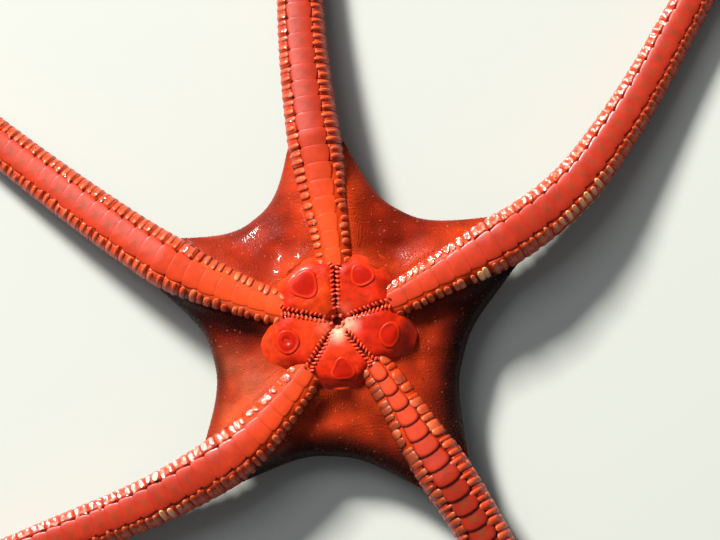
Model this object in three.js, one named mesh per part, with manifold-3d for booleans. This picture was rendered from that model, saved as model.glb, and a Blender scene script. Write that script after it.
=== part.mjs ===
// Brittle star, life size, lying on its back with the mouth up, as one still model.
// Units are millimetres and +Z is up. The origin is on the floor, straight under the mouth.
// Arms are numbered anticlockwise seen from above, and jaw N lies between arms N and N + 1.

import * as THREE from 'three';
import { mergeVertices } from 'three/addons/utils/BufferGeometryUtils.js';
import Module from 'manifold-3d';

const wasm = await Module();
wasm.setup();

// The whole animal
const ARM_LENGTH = 140; // from the mouth to the tip, along the arm
const DISC_EDGE = 19; // where an arm leaves the disc, along the arm
const GAP = 0.3; // clearance between neighbouring pieces

// An arm's line: pairs of length along the arm and heading in degrees, anticlockwise from +X
const ARM_HEADINGS = [
  [[0, 91], [6, 95.6], [10, 100.8], [18, 100], [25, 97], [45, 88], [75, 80], [105, 86], [140, 104]],
  [[0, 177], [2, 168], [6, 162], [12, 157.5], [16, 154], [20, 147.5], [26, 145], [45, 141], [140, 176]],
  [[0, 240], [5, 239], [8, 232.5], [13, 226.5], [18, 212.5], [26, 205], [32, 200], [75, 206], [140, 228]],
  [[0, 322], [2, 308], [6, 305.5], [12, 301.2], [18, 304.4], [25, 300], [45, 293], [75, 298], [140, 330]],
  [[0, 378], [4, 380], [8, 389], [18, 390.2], [23, 397.5], [31, 414], [45, 422], [75, 404], [140, 366]],
];
const TRACE_STEP = 0.5; // length of one straight step of that line

// An arm's size along its length
const ARM_WIDTH = 6.75; // over the spines, before the taper
const TIP_WIDTH = 0.7;
const TAPER_POWER = 1.15; // above 1, so the arm thins faster near the disc
const ROOT_FLARE = 0.5; // extra width where the arm joins the disc
const ROOT_FLARE_START = 15; // along the arm, where it starts to fade
const ROOT_FLARE_LENGTH = 3;
const CORE_SHARE = 0.9; // width without the spines, over the width with them
const HEIGHT_SHARE = 0.77; // height over width
const BACK_LIFT = 2.6; // height of the arm's back above the floor at the disc
const LIFT_START = 12; // the back sinks from here
const LIFT_END = 45; // and lies on the floor from here to the tip

// Cross section of an arm: shares of half the core's width, and of its height
const SECTION = [
  [1.0, 0.42], // flank
  [0.86, 0.8], // shoulder
  [0.5, 1.0], // edge of the plate on the mouth side
];
const THIN_SECTION = [
  [1.0, 0.5], // flank
  [0.55, 1.0], // edge of the plate, with no shoulder
];
const SOLE_SHARE = 0.5; // half the flat back
const WAIST_WIDTH = 0.9; // each segment starts narrower than its outer lip
const WAIST_HEIGHT = 0.94; // and lower
const LIP_SHARE = 0.9; // where the lip is, along the segment

// The three lengths that each arm is divided into, with their numbers of segments
const ARM_PARTS = [
  { name: 'base', from: DISC_EDGE, to: 50, segments: 8, section: SECTION, rows: 2, spineEnd: 0.55 },
  { name: 'middle', from: 50, to: 95, segments: 12, section: SECTION, rows: 1, spineEnd: 0.5 },
  { name: 'tip', from: 95, to: 140, segments: 12, section: THIN_SECTION, rows: 1, spineEnd: 0 },
];
const TIP_CAP = 0.4; // length of the blunt end of the last segment

// Spines, in two rows on each side: both on every segment, or taking turns along the arm
const SPINE_ROWS = [
  { side: 0.72, up: 0.88, out: 0.5, rise: 0.85 }, // beside the plates on the mouth side
  { side: 0.94, up: 0.6, out: 0.95, rise: 0.3 }, // on the flank
];
const SPINE_STARTS = [0.22, 0.12]; // where the roots are, along the segment
const SPINE_SIDES = 3;

// Sizes of a spine, each a fixed part and a share of the arm's width there
const SPINE_LENGTH = [0.6, 0.37];
const SPINE_STAND = [0.14, 0.06]; // how far the end stands off the flank
const SPINE_WIDTH = [0.5, 0.04]; // corner to corner at the root
const SPINE_SUNK = [0.12, 0.12]; // depth of the root under the surface

// Lengths and stands differ a little from spine to spine, the same on every build
const SPINE_SPREAD = 0.12;
const SEED = 20;
const DRAW_FACTOR = 1664525;
const DRAW_STEP = 1013904223;
const DRAW_RANGE = 2 ** 32;

// Plates on the mouth side of an arm's ridge, inside the disc
const PLATE_PLACES = [7.15, 9.25, 11.35, 13.45, 15.55, 17.65];
const PLATE_HALF_LENGTH = 0.93;
const PLATE_HALF_WIDTHS = [0.95, 1.1, 1.2, 1.3, 1.3, 1.3];
const PLATE_CORNERS = [[1, 0.6], [0.6, 1], [-0.75, 0.8]]; // shares of half its length and width
const PLATE_RAISED = 0.22;
const PLATE_BEVEL = 0.18;
const PLATE_SUNK = 0.6;

// The disc
const MARGIN_RADII = [13.8, 13.3, 13.4, 12.9, 13.0]; // from the mouth to the edge between arms
const MARGIN_POWER = 2.5; // how late the edge turns out to meet the arms
const MARGIN_STATIONS = 8; // points along the edge between two arms
const RIDGE_INNER_HALF = 1.6; // half the width of an arm's ridge beside the mouth
const RIDGE_INNER = 5.75; // where the ridge starts, along the arm
const RIDGE_TOP = 7.0; // its height beside the mouth
const RIDGE_RISE_START = 9; // from here its section turns into the arm's
const RIDGE_SHOULDER = 0.7; // height of its shoulder between foot and crest
const BACK_FOOT = 0.36; // height shares of the two edges of its flank at the disc's edge
const FRONT_FOOT = 0.48;
const MOUTH_FLOOR = 4.9;
const SKIN_Z = 5.2; // level of the soft skin between the arms

// Rings of the disc from the flat back out to the edge and back in to the mouth: length along the
// arms, share of the margin's radius between them, level of the skin there, and which side it is
const DISC_RINGS = [
  { along: 10, reach: 0.68, skin: 0, back: true },
  { along: 15, reach: 0.86, skin: 0.5, back: true },
  { along: 17.7, reach: 0.955, skin: 1.4, back: true },
  { along: DISC_EDGE - GAP / 2, reach: 1, skin: 2.5, back: true },
  { along: DISC_EDGE - GAP / 2, reach: 1, skin: 3.4, back: false },
  { along: 18, reach: 0.965, skin: 4.3, back: false },
  { along: 16.2, reach: 0.9, skin: 4.9, back: false },
  { along: 13.4, reach: 0.8, skin: 5.1, back: false },
  { along: 9.5, reach: 0.66, skin: SKIN_Z, back: false },
  { along: RIDGE_INNER + 0.15, reach: 0.52, skin: SKIN_Z, back: false },
];
const MOUTH_RING = { along: RIDGE_INNER, reach: 0.51, skin: MOUTH_FLOOR, back: false };

// The jaws
const JAW_BASE = MOUTH_FLOOR + GAP;
const JAW_EDGE = 6.75; // height of the upper edge of a jaw's sides
const JAW_TOP = 7.5;
const JAW_OUTER = 6.45; // radius of the outer edge
const JAW_OUTER_STEPS = 4;
const JAW_TIP = 0.8; // where the tip starts, along the arms beside it
const JAW_NOTCH = 1.9; // side of the notch that clears an arm's ridge
const JAW_CORNER = [6.1, 2.1]; // outer corner: length along the arm, and side
const JAW_CENTRE = 4;
const JAW_INSET = 0.2; // share by which the crown is smaller than the edge
const JAW_DIP = 0.6; // how far the tip dips into the mouth
const JAW_DIP_RADIUS = 3;
const SLIT_HALF = 0.42; // half the slit between two jaws, without the papillae

// Papillae along the slits
const PAPILLA_PLACES = [1.55, 2.55, 3.55, 4.55]; // along the arm
const PAPILLA_WIDTH = 0.75;
const PAPILLA_TIP_WIDTH = 0.45;
const PAPILLA_SIDES = 4;
const PAPILLA_SUNK = 0.5;
const PAPILLA_REACH = 0.27; // how far each stands out into the slit
const PAPILLA_DROP = 0.45; // below the jaw's upper edge

// The shield on each jaw
const SHIELD_RADIUS = 5.05; // of its centre
const SHIELD_HALF_LENGTH = 1.25;
const SHIELD_HALF_WIDTH = 1.2;
const SHIELD_POINT = 0.1; // how much its three corners stand out
const SHIELD_CROWN = 0.72; // size of its flat top over its outline
const SHIELD_SIDES = 10;
const SHIELD_ROOT = 6.2;
const SHIELD_EDGE = 7.62;
const SHIELD_TOP = 7.8;

const COLOURS = { disc: 0xa2331f, jaw: 0xdb5a35, arm: 0xcf4729 };

// Line of an arm

function smoothStep(from, to, value) {
  const share = Math.min(Math.max((value - from) / (to - from), 0), 1);
  return share * share * (3 - 2 * share);
}

function headingAt(headings, along) {
  const next = headings.findIndex(([at]) => at > along);
  if (next < 0) {
    return THREE.MathUtils.degToRad(headings.at(-1)[1]);
  }
  const [fromAt, fromAngle] = headings[next - 1];
  const [toAt, toAngle] = headings[next];
  const share = (along - fromAt) / (toAt - fromAt);
  return THREE.MathUtils.degToRad(THREE.MathUtils.lerp(fromAngle, toAngle, share));
}

function traceArm(headings) {
  const points = [new THREE.Vector2(0, 0)];
  for (let along = TRACE_STEP / 2; along < ARM_LENGTH; along += TRACE_STEP) {
    const angle = headingAt(headings, along);
    const step = new THREE.Vector2(Math.cos(angle), Math.sin(angle)).multiplyScalar(TRACE_STEP);
    points.push(points.at(-1).clone().add(step));
  }
  return { headings, points };
}

// A point beside an arm's line: side is positive to the left, looking outwards
function armPoint(arm, along, side, z) {
  const step = Math.min(Math.floor(along / TRACE_STEP), arm.points.length - 2);
  const centre = arm.points[step].clone().lerp(arm.points[step + 1], along / TRACE_STEP - step);
  const angle = headingAt(arm.headings, along);
  return new THREE.Vector3(centre.x - side * Math.sin(angle), centre.y + side * Math.cos(angle), z);
}

function armWidth(along) {
  const taper = TIP_WIDTH + (ARM_WIDTH - TIP_WIDTH) * (1 - along / ARM_LENGTH) ** TAPER_POWER;
  return taper + ROOT_FLARE * Math.exp((ROOT_FLARE_START - along) / ROOT_FLARE_LENGTH);
}

function armHeight(along) {
  return HEIGHT_SHARE * armWidth(along);
}

function backHeight(along) {
  return BACK_LIFT * (1 - smoothStep(LIFT_START, LIFT_END, along));
}

// Closed solids

function solid(positions, indices) {
  const mesh = new wasm.Mesh({
    numProp: 3,
    vertProperties: new Float32Array(positions),
    triVerts: new Uint32Array(indices),
  });
  return new wasm.Manifold(mesh);
}

// Surface over rings of equal size, each anticlockwise seen from the last one, with a fan at each end
function loft(rings, startCentre, endCentre) {
  const size = rings[0].length;
  const vertices = rings.flat();
  const start = vertices.push(startCentre) - 1;
  const end = vertices.push(endCentre) - 1;
  const last = (rings.length - 1) * size;
  const faces = [];
  for (let i = 0; i < size; i += 1) {
    const next = (i + 1) % size;
    faces.push([start, next, i], [end, last + i, last + next]);
    for (let row = 0; row < last; row += size) {
      faces.push([row + i, row + next, row + size + i]);
      faces.push([row + next, row + size + next, row + size + i]);
    }
  }
  return solid(vertices.flatMap((vertex) => vertex.toArray()), faces.flat());
}

// Straight-sided cone from its root to its tip, cut short where the tip has a width
function taper(root, tip, rootWidth, tipWidth, sides) {
  const axis = tip.clone().sub(root);
  const geometry = new THREE.CylinderGeometry(tipWidth / 2, rootWidth / 2, axis.length(), sides);
  geometry.deleteAttribute('normal');
  geometry.deleteAttribute('uv');
  const up = new THREE.Vector3(0, 1, 0);
  geometry.applyQuaternion(new THREE.Quaternion().setFromUnitVectors(up, axis.clone().normalize()));
  const middle = root.clone().lerp(tip, 0.5);
  const merged = mergeVertices(geometry.translate(middle.x, middle.y, middle.z));
  return solid(merged.getAttribute('position').array, merged.getIndex().array);
}

// Body and pieces as one closed surface
function fuse(body, pieces) {
  const joined = pieces.reduce((whole, piece) => whole.add(piece), body);
  const bodies = joined.decompose().sort((a, b) => b.volume() - a.volume());
  return bodies[0];
}

// Named mesh of a solid
function node(name, shape, colour) {
  const { numProp, vertProperties, triVerts } = shape.getMesh();
  const geometry = new THREE.BufferGeometry();
  const positions = new THREE.InterleavedBuffer(vertProperties, numProp);
  geometry.setAttribute('position', new THREE.InterleavedBufferAttribute(positions, 3, 0));
  geometry.setIndex(new THREE.BufferAttribute(triVerts, 1));
  const material = new THREE.MeshStandardMaterial({ color: colour, roughness: 0.45, metalness: 0 });
  const mesh = new THREE.Mesh(geometry, material);
  mesh.name = name;
  return mesh;
}

// Arms

// Cross section at one place: the shares narrow its sides and lower its top
function armRing(arm, section, along, widthShare, heightShare) {
  const half = (armWidth(along) * CORE_SHARE) / 2;
  const height = armHeight(along);
  const floor = backHeight(along);
  const left = section.map(([side, up], i) => {
    const top = i === section.length - 1;
    return [side * (top ? 1 : widthShare), up * (top ? heightShare : 1)];
  });
  const right = left.map(([side, up]) => [-side, up]).reverse();
  const outline = [...left, ...right, [-SOLE_SHARE, 0], [SOLE_SHARE, 0]];
  return outline.map(([side, up]) => armPoint(arm, along, side * half, floor + up * height));
}

function armCore(arm, part) {
  const pitch = (part.to - part.from) / part.segments;
  const first = part.from + GAP / 2;
  const last = part.to === ARM_LENGTH ? part.to - TIP_CAP : part.to - GAP / 2;
  const rings = [];
  for (let i = 0; i < part.segments; i += 1) {
    const start = Math.max(part.from + i * pitch, first);
    const lip = i === part.segments - 1 ? last : part.from + (i + LIP_SHARE) * pitch;
    rings.push(armRing(arm, part.section, start, WAIST_WIDTH, WAIST_HEIGHT));
    rings.push(armRing(arm, part.section, lip, 1, 1));
  }
  const middle = (along) => backHeight(along) + armHeight(along) / 2;
  const end = part.to === ARM_LENGTH ? part.to : last;
  return loft(rings, armPoint(arm, first, 0, middle(first)), armPoint(arm, end, 0, middle(last)));
}

// Repeatable numbers from 0 to 1
function seededDraws(seed) {
  let state = seed;
  return () => {
    state = (state * DRAW_FACTOR + DRAW_STEP) % DRAW_RANGE;
    return state / DRAW_RANGE;
  };
}

// A spine leans outwards along the arm, from under the surface to a little off it
function armSpine(arm, along, side, row, endShare, vary) {
  const sized = ([fixed, share]) => fixed + share * armWidth(along);
  const surface = (at, off) => {
    const half = (armWidth(at) * CORE_SHARE) / 2;
    const z = backHeight(at) + row.up * armHeight(at);
    return armPoint(arm, at, side * (row.side * half + off * row.out), z + off * row.rise);
  };
  const root = surface(along, -sized(SPINE_SUNK));
  const tip = surface(along + sized(SPINE_LENGTH) * vary, sized(SPINE_STAND) * vary);
  return taper(root, tip, sized(SPINE_WIDTH), sized(SPINE_WIDTH) * endShare, SPINE_SIDES);
}

function armSpines(arm, part, draw) {
  const pitch = (part.to - part.from) / part.segments;
  const spines = [];
  for (let i = 0; i < part.segments; i += 1) {
    for (const side of [-1, 1]) {
      for (let k = 0; k < part.rows; k += 1) {
        const turn = (i + k + (side + 1) / 2) % SPINE_ROWS.length;
        const along = part.from + (i + SPINE_STARTS[k]) * pitch;
        const vary = 1 + SPINE_SPREAD * (draw() - 0.5);
        spines.push(armSpine(arm, along, side, SPINE_ROWS[turn], part.spineEnd, vary));
      }
    }
  }
  return spines;
}

// Disc

// Half the width of an arm's ridge on the disc
function ridgeHalf(along) {
  const full = (armWidth(DISC_EDGE) * CORE_SHARE) / 2;
  return THREE.MathUtils.lerp(RIDGE_INNER_HALF, full, smoothStep(RIDGE_INNER, DISC_EDGE, along));
}

// Height of the top of the ridge
function ridgeTop(along) {
  const share = smoothStep(RIDGE_RISE_START, DISC_EDGE, along);
  return THREE.MathUtils.lerp(RIDGE_TOP, backHeight(DISC_EDGE) + armHeight(DISC_EDGE), share);
}

// Points of one ring across an arm, from its right foot to its left foot
function ridgePoints(arm, ring) {
  const half = ridgeHalf(ring.along);
  const share = smoothStep(RIDGE_RISE_START, DISC_EDGE, ring.along);
  const floor = backHeight(DISC_EDGE);
  const height = armHeight(DISC_EDGE);
  const foot = ring.back ? BACK_FOOT : FRONT_FOOT;
  const footZ = THREE.MathUtils.lerp(ring.skin, floor + foot * height, share);
  const crestZ = ring.back ? floor * share : ridgeTop(ring.along);
  const levels = [footZ, THREE.MathUtils.lerp(footZ, crestZ, RIDGE_SHOULDER), crestZ];
  const left = SECTION.map(([side], i) => [side * half, levels[i]]).reverse();
  const right = left.map(([side, z]) => [-side, z]).reverse();
  return [...right, ...left].map(([side, z]) => armPoint(arm, ring.along, side, z));
}

// One ring round the disc: each arm's ridge, then the skin between it and the next
function discRing(arms, ring) {
  return arms.flatMap((arm, i) => {
    const ridge = ridgePoints(arm, ring);
    const from = new THREE.Vector2().copy(ridge.at(-1));
    const to = new THREE.Vector2().copy(ridgePoints(arms[(i + 1) % arms.length], ring)[0]);
    const span = to.clone().rotateAround(new THREE.Vector2(), -from.angle()).angle();
    const skin = [];
    for (let k = 1; k <= MARGIN_STATIONS; k += 1) {
      const share = k / (MARGIN_STATIONS + 1);
      const outward = Math.abs(2 * share - 1) ** MARGIN_POWER;
      const foot = THREE.MathUtils.lerp(from.length(), to.length(), share);
      const radius = THREE.MathUtils.lerp(MARGIN_RADII[i] * ring.reach, foot, outward);
      const angle = from.angle() + span * share;
      skin.push(new THREE.Vector3(radius * Math.cos(angle), radius * Math.sin(angle), ring.skin));
    }
    return [...ridge, ...skin];
  });
}

function ridgePlate(arm, along, halfWidth) {
  const outline = (inset, raised) => {
    const long = PLATE_HALF_LENGTH - inset;
    const wide = halfWidth - inset;
    const left = PLATE_CORNERS.map(([step, side]) => [step * long, side * wide]);
    const right = left.map(([step, side]) => [step, -side]).reverse();
    return [...left, ...right].map(([step, side]) => {
      return armPoint(arm, along + step, side, ridgeTop(along + step) + raised);
    });
  };
  const rings = [outline(0, -PLATE_SUNK), outline(PLATE_BEVEL, PLATE_RAISED)];
  const centre = (raised) => armPoint(arm, along, 0, ridgeTop(along) + raised);
  return loft(rings, centre(-PLATE_SUNK), centre(PLATE_RAISED));
}

function buildDisc(arms) {
  const rings = DISC_RINGS.map((ring) => discRing(arms, ring));
  rings.push(discRing(arms, MOUTH_RING).map((point) => point.setZ(MOUTH_FLOOR)));
  const body = loft(rings, new THREE.Vector3(0, 0, 0), new THREE.Vector3(0, 0, MOUTH_FLOOR));
  const plates = arms.flatMap((arm) => {
    return PLATE_PLACES.map((along, i) => ridgePlate(arm, along, PLATE_HALF_WIDTHS[i]));
  });
  return fuse(body, plates);
}

// Jaws

// Height of a surface of the jaw, which dips towards the tip over the mouth
function jawHeight(point, level) {
  const inward = Math.max(1 - Math.hypot(point.x, point.y) / JAW_DIP_RADIUS, 0);
  return level - JAW_DIP * inward * inward;
}

function jawOutline(arm, nextArm) {
  const inner = RIDGE_INNER - GAP;
  const side = [[JAW_TIP, SLIT_HALF], [inner, SLIT_HALF], [inner, JAW_NOTCH], JAW_CORNER];
  const right = side.map(([along, out]) => armPoint(arm, along, out, 0));
  const left = side.map(([along, out]) => armPoint(nextArm, along, -out, 0)).reverse();
  const fromAngle = Math.atan2(right.at(-1).y, right.at(-1).x);
  const span = new THREE.Vector2(left[0].x, left[0].y).rotateAround(new THREE.Vector2(), -fromAngle);
  const outer = [];
  for (let k = 1; k < JAW_OUTER_STEPS; k += 1) {
    const angle = fromAngle + (span.angle() * k) / JAW_OUTER_STEPS;
    outer.push(new THREE.Vector3(Math.cos(angle), Math.sin(angle), 0).multiplyScalar(JAW_OUTER));
  }
  return [...right, ...outer, ...left];
}

// Unit vector from the mouth along the middle of a jaw
function jawAxis(arm, nextArm) {
  const right = armPoint(arm, RIDGE_INNER, 0, 0).normalize();
  const left = armPoint(nextArm, RIDGE_INNER, 0, 0).normalize();
  return right.add(left).normalize();
}

// Rounded triangle with one corner towards the mouth
function buildShield(axis) {
  const across = new THREE.Vector3(-axis.y, axis.x, 0);
  const outline = (share, z) => {
    const ring = [];
    for (let k = 0; k < SHIELD_SIDES; k += 1) {
      const angle = (2 * Math.PI * k) / SHIELD_SIDES;
      const bulge = 1 - SHIELD_POINT * Math.cos(3 * angle);
      const along = SHIELD_RADIUS + share * bulge * SHIELD_HALF_LENGTH * Math.cos(angle);
      const side = share * bulge * SHIELD_HALF_WIDTH * Math.sin(angle);
      const point = axis.clone().multiplyScalar(along).addScaledVector(across, side);
      ring.push(point.setZ(z));
    }
    return ring;
  };
  const centre = axis.clone().multiplyScalar(SHIELD_RADIUS);
  const rings = [outline(1, SHIELD_ROOT), outline(1, SHIELD_EDGE), outline(SHIELD_CROWN, SHIELD_TOP)];
  return loft(rings, centre.clone().setZ(SHIELD_ROOT), centre.clone().setZ(SHIELD_TOP));
}

function papillaeBeside(arm, side) {
  return PAPILLA_PLACES.map((along) => {
    const z = jawHeight(armPoint(arm, along, 0, 0), JAW_EDGE) - PAPILLA_DROP;
    const root = armPoint(arm, along, side * (SLIT_HALF + PAPILLA_SUNK), z);
    const tip = armPoint(arm, along, side * (SLIT_HALF - PAPILLA_REACH), z);
    return taper(root, tip, PAPILLA_WIDTH, PAPILLA_TIP_WIDTH, PAPILLA_SIDES);
  });
}

function buildJaw(arm, nextArm) {
  const outline = jawOutline(arm, nextArm);
  const axis = jawAxis(arm, nextArm);
  const centre = axis.clone().multiplyScalar(JAW_CENTRE);
  const base = outline.map((point) => point.clone().setZ(JAW_BASE));
  const edge = outline.map((point) => point.clone().setZ(jawHeight(point, JAW_EDGE)));
  const crown = outline.map((point) => {
    const inset = point.clone().lerp(centre, JAW_INSET);
    return inset.setZ(jawHeight(inset, JAW_TOP));
  });
  const body = loft([base, edge, crown], centre.clone().setZ(JAW_BASE), centre.clone().setZ(JAW_TOP));
  const papillae = [...papillaeBeside(arm, 1), ...papillaeBeside(nextArm, -1)];
  return fuse(body, [buildShield(axis), ...papillae]);
}

const arms = ARM_HEADINGS.map(traceArm);
const draw = seededDraws(SEED);
const star = new THREE.Group();
star.add(node('disc', buildDisc(arms), COLOURS.disc));
for (const [i, arm] of arms.entries()) {
  const nextArm = arms[(i + 1) % arms.length];
  star.add(node(`jaw_${i + 1}`, buildJaw(arm, nextArm), COLOURS.jaw));
  for (const part of ARM_PARTS) {
    const shape = fuse(armCore(arm, part), armSpines(arm, part, draw));
    star.add(node(`arm_${i + 1}_${part.name}`, shape, COLOURS.arm));
  }
}

export default star;
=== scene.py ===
"""Brittle star: a life-size still model lying on its back with the mouth up, dressed around its frame.

Every piece is worked out in metres from the same sizes as the solids. An arm is a surface over two
parameters, the length along its line and the turn around its section, and its plates, scales and
spines are small templates laid on that surface. The disc is a ring of arm ridges and skin.
"""

import logging
import math
from collections.abc import Callable, Sequence
from dataclasses import dataclass, replace
from enum import Enum
from functools import cached_property

import bpy
import numpy as np
from mathutils import Matrix, Vector


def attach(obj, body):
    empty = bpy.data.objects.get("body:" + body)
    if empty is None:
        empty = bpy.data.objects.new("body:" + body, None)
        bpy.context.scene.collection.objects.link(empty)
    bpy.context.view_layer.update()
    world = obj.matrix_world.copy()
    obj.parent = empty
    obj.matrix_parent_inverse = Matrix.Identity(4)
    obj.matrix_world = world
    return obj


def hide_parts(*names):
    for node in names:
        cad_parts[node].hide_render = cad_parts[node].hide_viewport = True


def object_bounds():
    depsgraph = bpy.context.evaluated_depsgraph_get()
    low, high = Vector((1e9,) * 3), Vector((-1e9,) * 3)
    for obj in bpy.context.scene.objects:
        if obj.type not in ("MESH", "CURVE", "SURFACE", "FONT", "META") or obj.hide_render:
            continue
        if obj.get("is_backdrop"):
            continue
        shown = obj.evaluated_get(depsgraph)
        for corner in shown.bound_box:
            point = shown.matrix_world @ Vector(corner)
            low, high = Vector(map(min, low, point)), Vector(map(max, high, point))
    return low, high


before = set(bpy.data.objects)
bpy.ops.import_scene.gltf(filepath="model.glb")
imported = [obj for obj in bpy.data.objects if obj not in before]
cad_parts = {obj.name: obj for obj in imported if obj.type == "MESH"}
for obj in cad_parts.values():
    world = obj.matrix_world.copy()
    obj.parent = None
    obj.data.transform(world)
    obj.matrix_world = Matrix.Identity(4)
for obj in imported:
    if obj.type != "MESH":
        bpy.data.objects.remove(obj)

LOG = logging.getLogger("brittle_star")
Array = np.ndarray
Draw = np.random.Generator
Marks = dict[str, Array]
Pairs = Sequence[tuple[float, float]]
Fives = tuple[float, float, float, float, float]

MM = 0.001
SEED = 20
BODY = "root"
BAKE_MAP = "OFBake"

# The whole animal
ARM_LENGTH = 140 * MM
DISC_EDGE = 19 * MM
RIDGE_INNER = 5.3 * MM

# Pairs of length along an arm in millimetres and heading in degrees, anticlockwise from +X
ARM_HEADINGS = (
    ((0, 91), (6, 95.6), (10, 100.8), (18, 100), (25, 97), (45, 88), (75, 80), (105, 86), (140, 104)),
    ((0, 177), (2, 168), (6, 162), (12, 157.5), (16, 154), (20, 147.5), (26, 145), (45, 141), (140, 176)),
    ((0, 240), (5, 239), (8, 232.5), (13, 226.5), (18, 212.5), (26, 205), (32, 200), (75, 206), (140, 228)),
    ((0, 322), (2, 308), (6, 305.5), (12, 301.2), (18, 304.4), (25, 300), (45, 293), (75, 298), (140, 330)),
    ((0, 378), (4, 380), (8, 389), (18, 390.2), (23, 397.5), (31, 414), (45, 422), (75, 404), (140, 366)),
)
FILM_MARKS = ("film_x", "film_y", "film_z")  # marks with the direction in which a film of water faces
FILM_LEVEL = 0.9  # how much flatter than the arm the film lies: share of the upward direction in its own
WELD = 0.002 * MM  # how near two points are that become one
GRANULE_PLACE = 0.0015  # half a granule's patch on the bake map


class Slot(Enum):
    """Material slots of the record."""

    DISC = "disc_skin"
    JAW = "jaw_plates"
    ARM = "arm_plates"


def smooth_step(start: float, end: float, value: Array) -> Array:
    """Share from 0 to 1 of the way from start to end, 3t² - 2t³."""
    share = np.clip((np.asarray(value) - start) / (end - start), 0.0, 1.0)
    return share * share * (3.0 - 2.0 * share)


def mix(start: Array, end: Array, share: Array) -> Array:
    """Value at a share of the way from start to end."""
    return start + (end - start) * share


def bell(value: Array, middle: float, width: Array) -> Array:
    """Bell curve, e to the power of -((value - middle) / width)²."""
    return np.exp(-(((value - middle) / width) ** 2))


def signed_power(value: Array, power: Array) -> Array:
    """Size of a value to a power, with the value's sign."""
    return np.sign(value) * np.abs(value) ** power


def unit(vectors: Array) -> Array:
    """Vectors of length one along the last axis."""
    return vectors / np.maximum(np.linalg.norm(vectors, axis=-1, keepdims=True), 1e-12)


def around(count: int) -> Array:
    """Even angles once round a circle."""
    return np.arange(count) * 2 * math.pi / count


def turned(axis: float, ahead: Array, aside: Array, height: Array) -> Array:
    """Points by their distances along a heading and to its left: ahead (cos, sin) + aside (-sin, cos)."""
    x = ahead * math.cos(axis) - aside * math.sin(axis)
    return np.stack(np.broadcast_arrays(x, ahead * math.sin(axis) + aside * math.cos(axis), height), axis=-1)


def round_outline(angle: Array) -> Array:
    """Outline of a circle."""
    return np.stack([np.cos(angle), np.sin(angle)], axis=1)


def ripples(x: Array, y: Array) -> Array:
    """Slow unevenness: a mean of sine waves of 2 to 6 mm in seeded directions.

    Args:
        x: First coordinate in metres.
        y: Second coordinate.

    Returns:
        Numbers from about -1 to 1.
    """
    turns = np.random.default_rng(SEED).uniform(0, 2 * math.pi, (7, 2))
    ways = [(x * math.cos(angle) + y * math.sin(angle)) * 2 * math.pi for angle, _ in turns]
    lengths = np.linspace(2.0, 6.0, len(turns)) * MM
    waves = (np.sin(way / length + phase) for way, length, (_, phase) in zip(ways, lengths, turns))
    return sum(waves) / len(turns) * 1.8


def add_object(name: str, data: bpy.types.ID) -> bpy.types.Object:
    """A new object of the scene, at the origin."""
    bpy.context.scene.collection.objects.link(bpy.data.objects.new(name, data))
    return bpy.data.objects[name]


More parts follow.
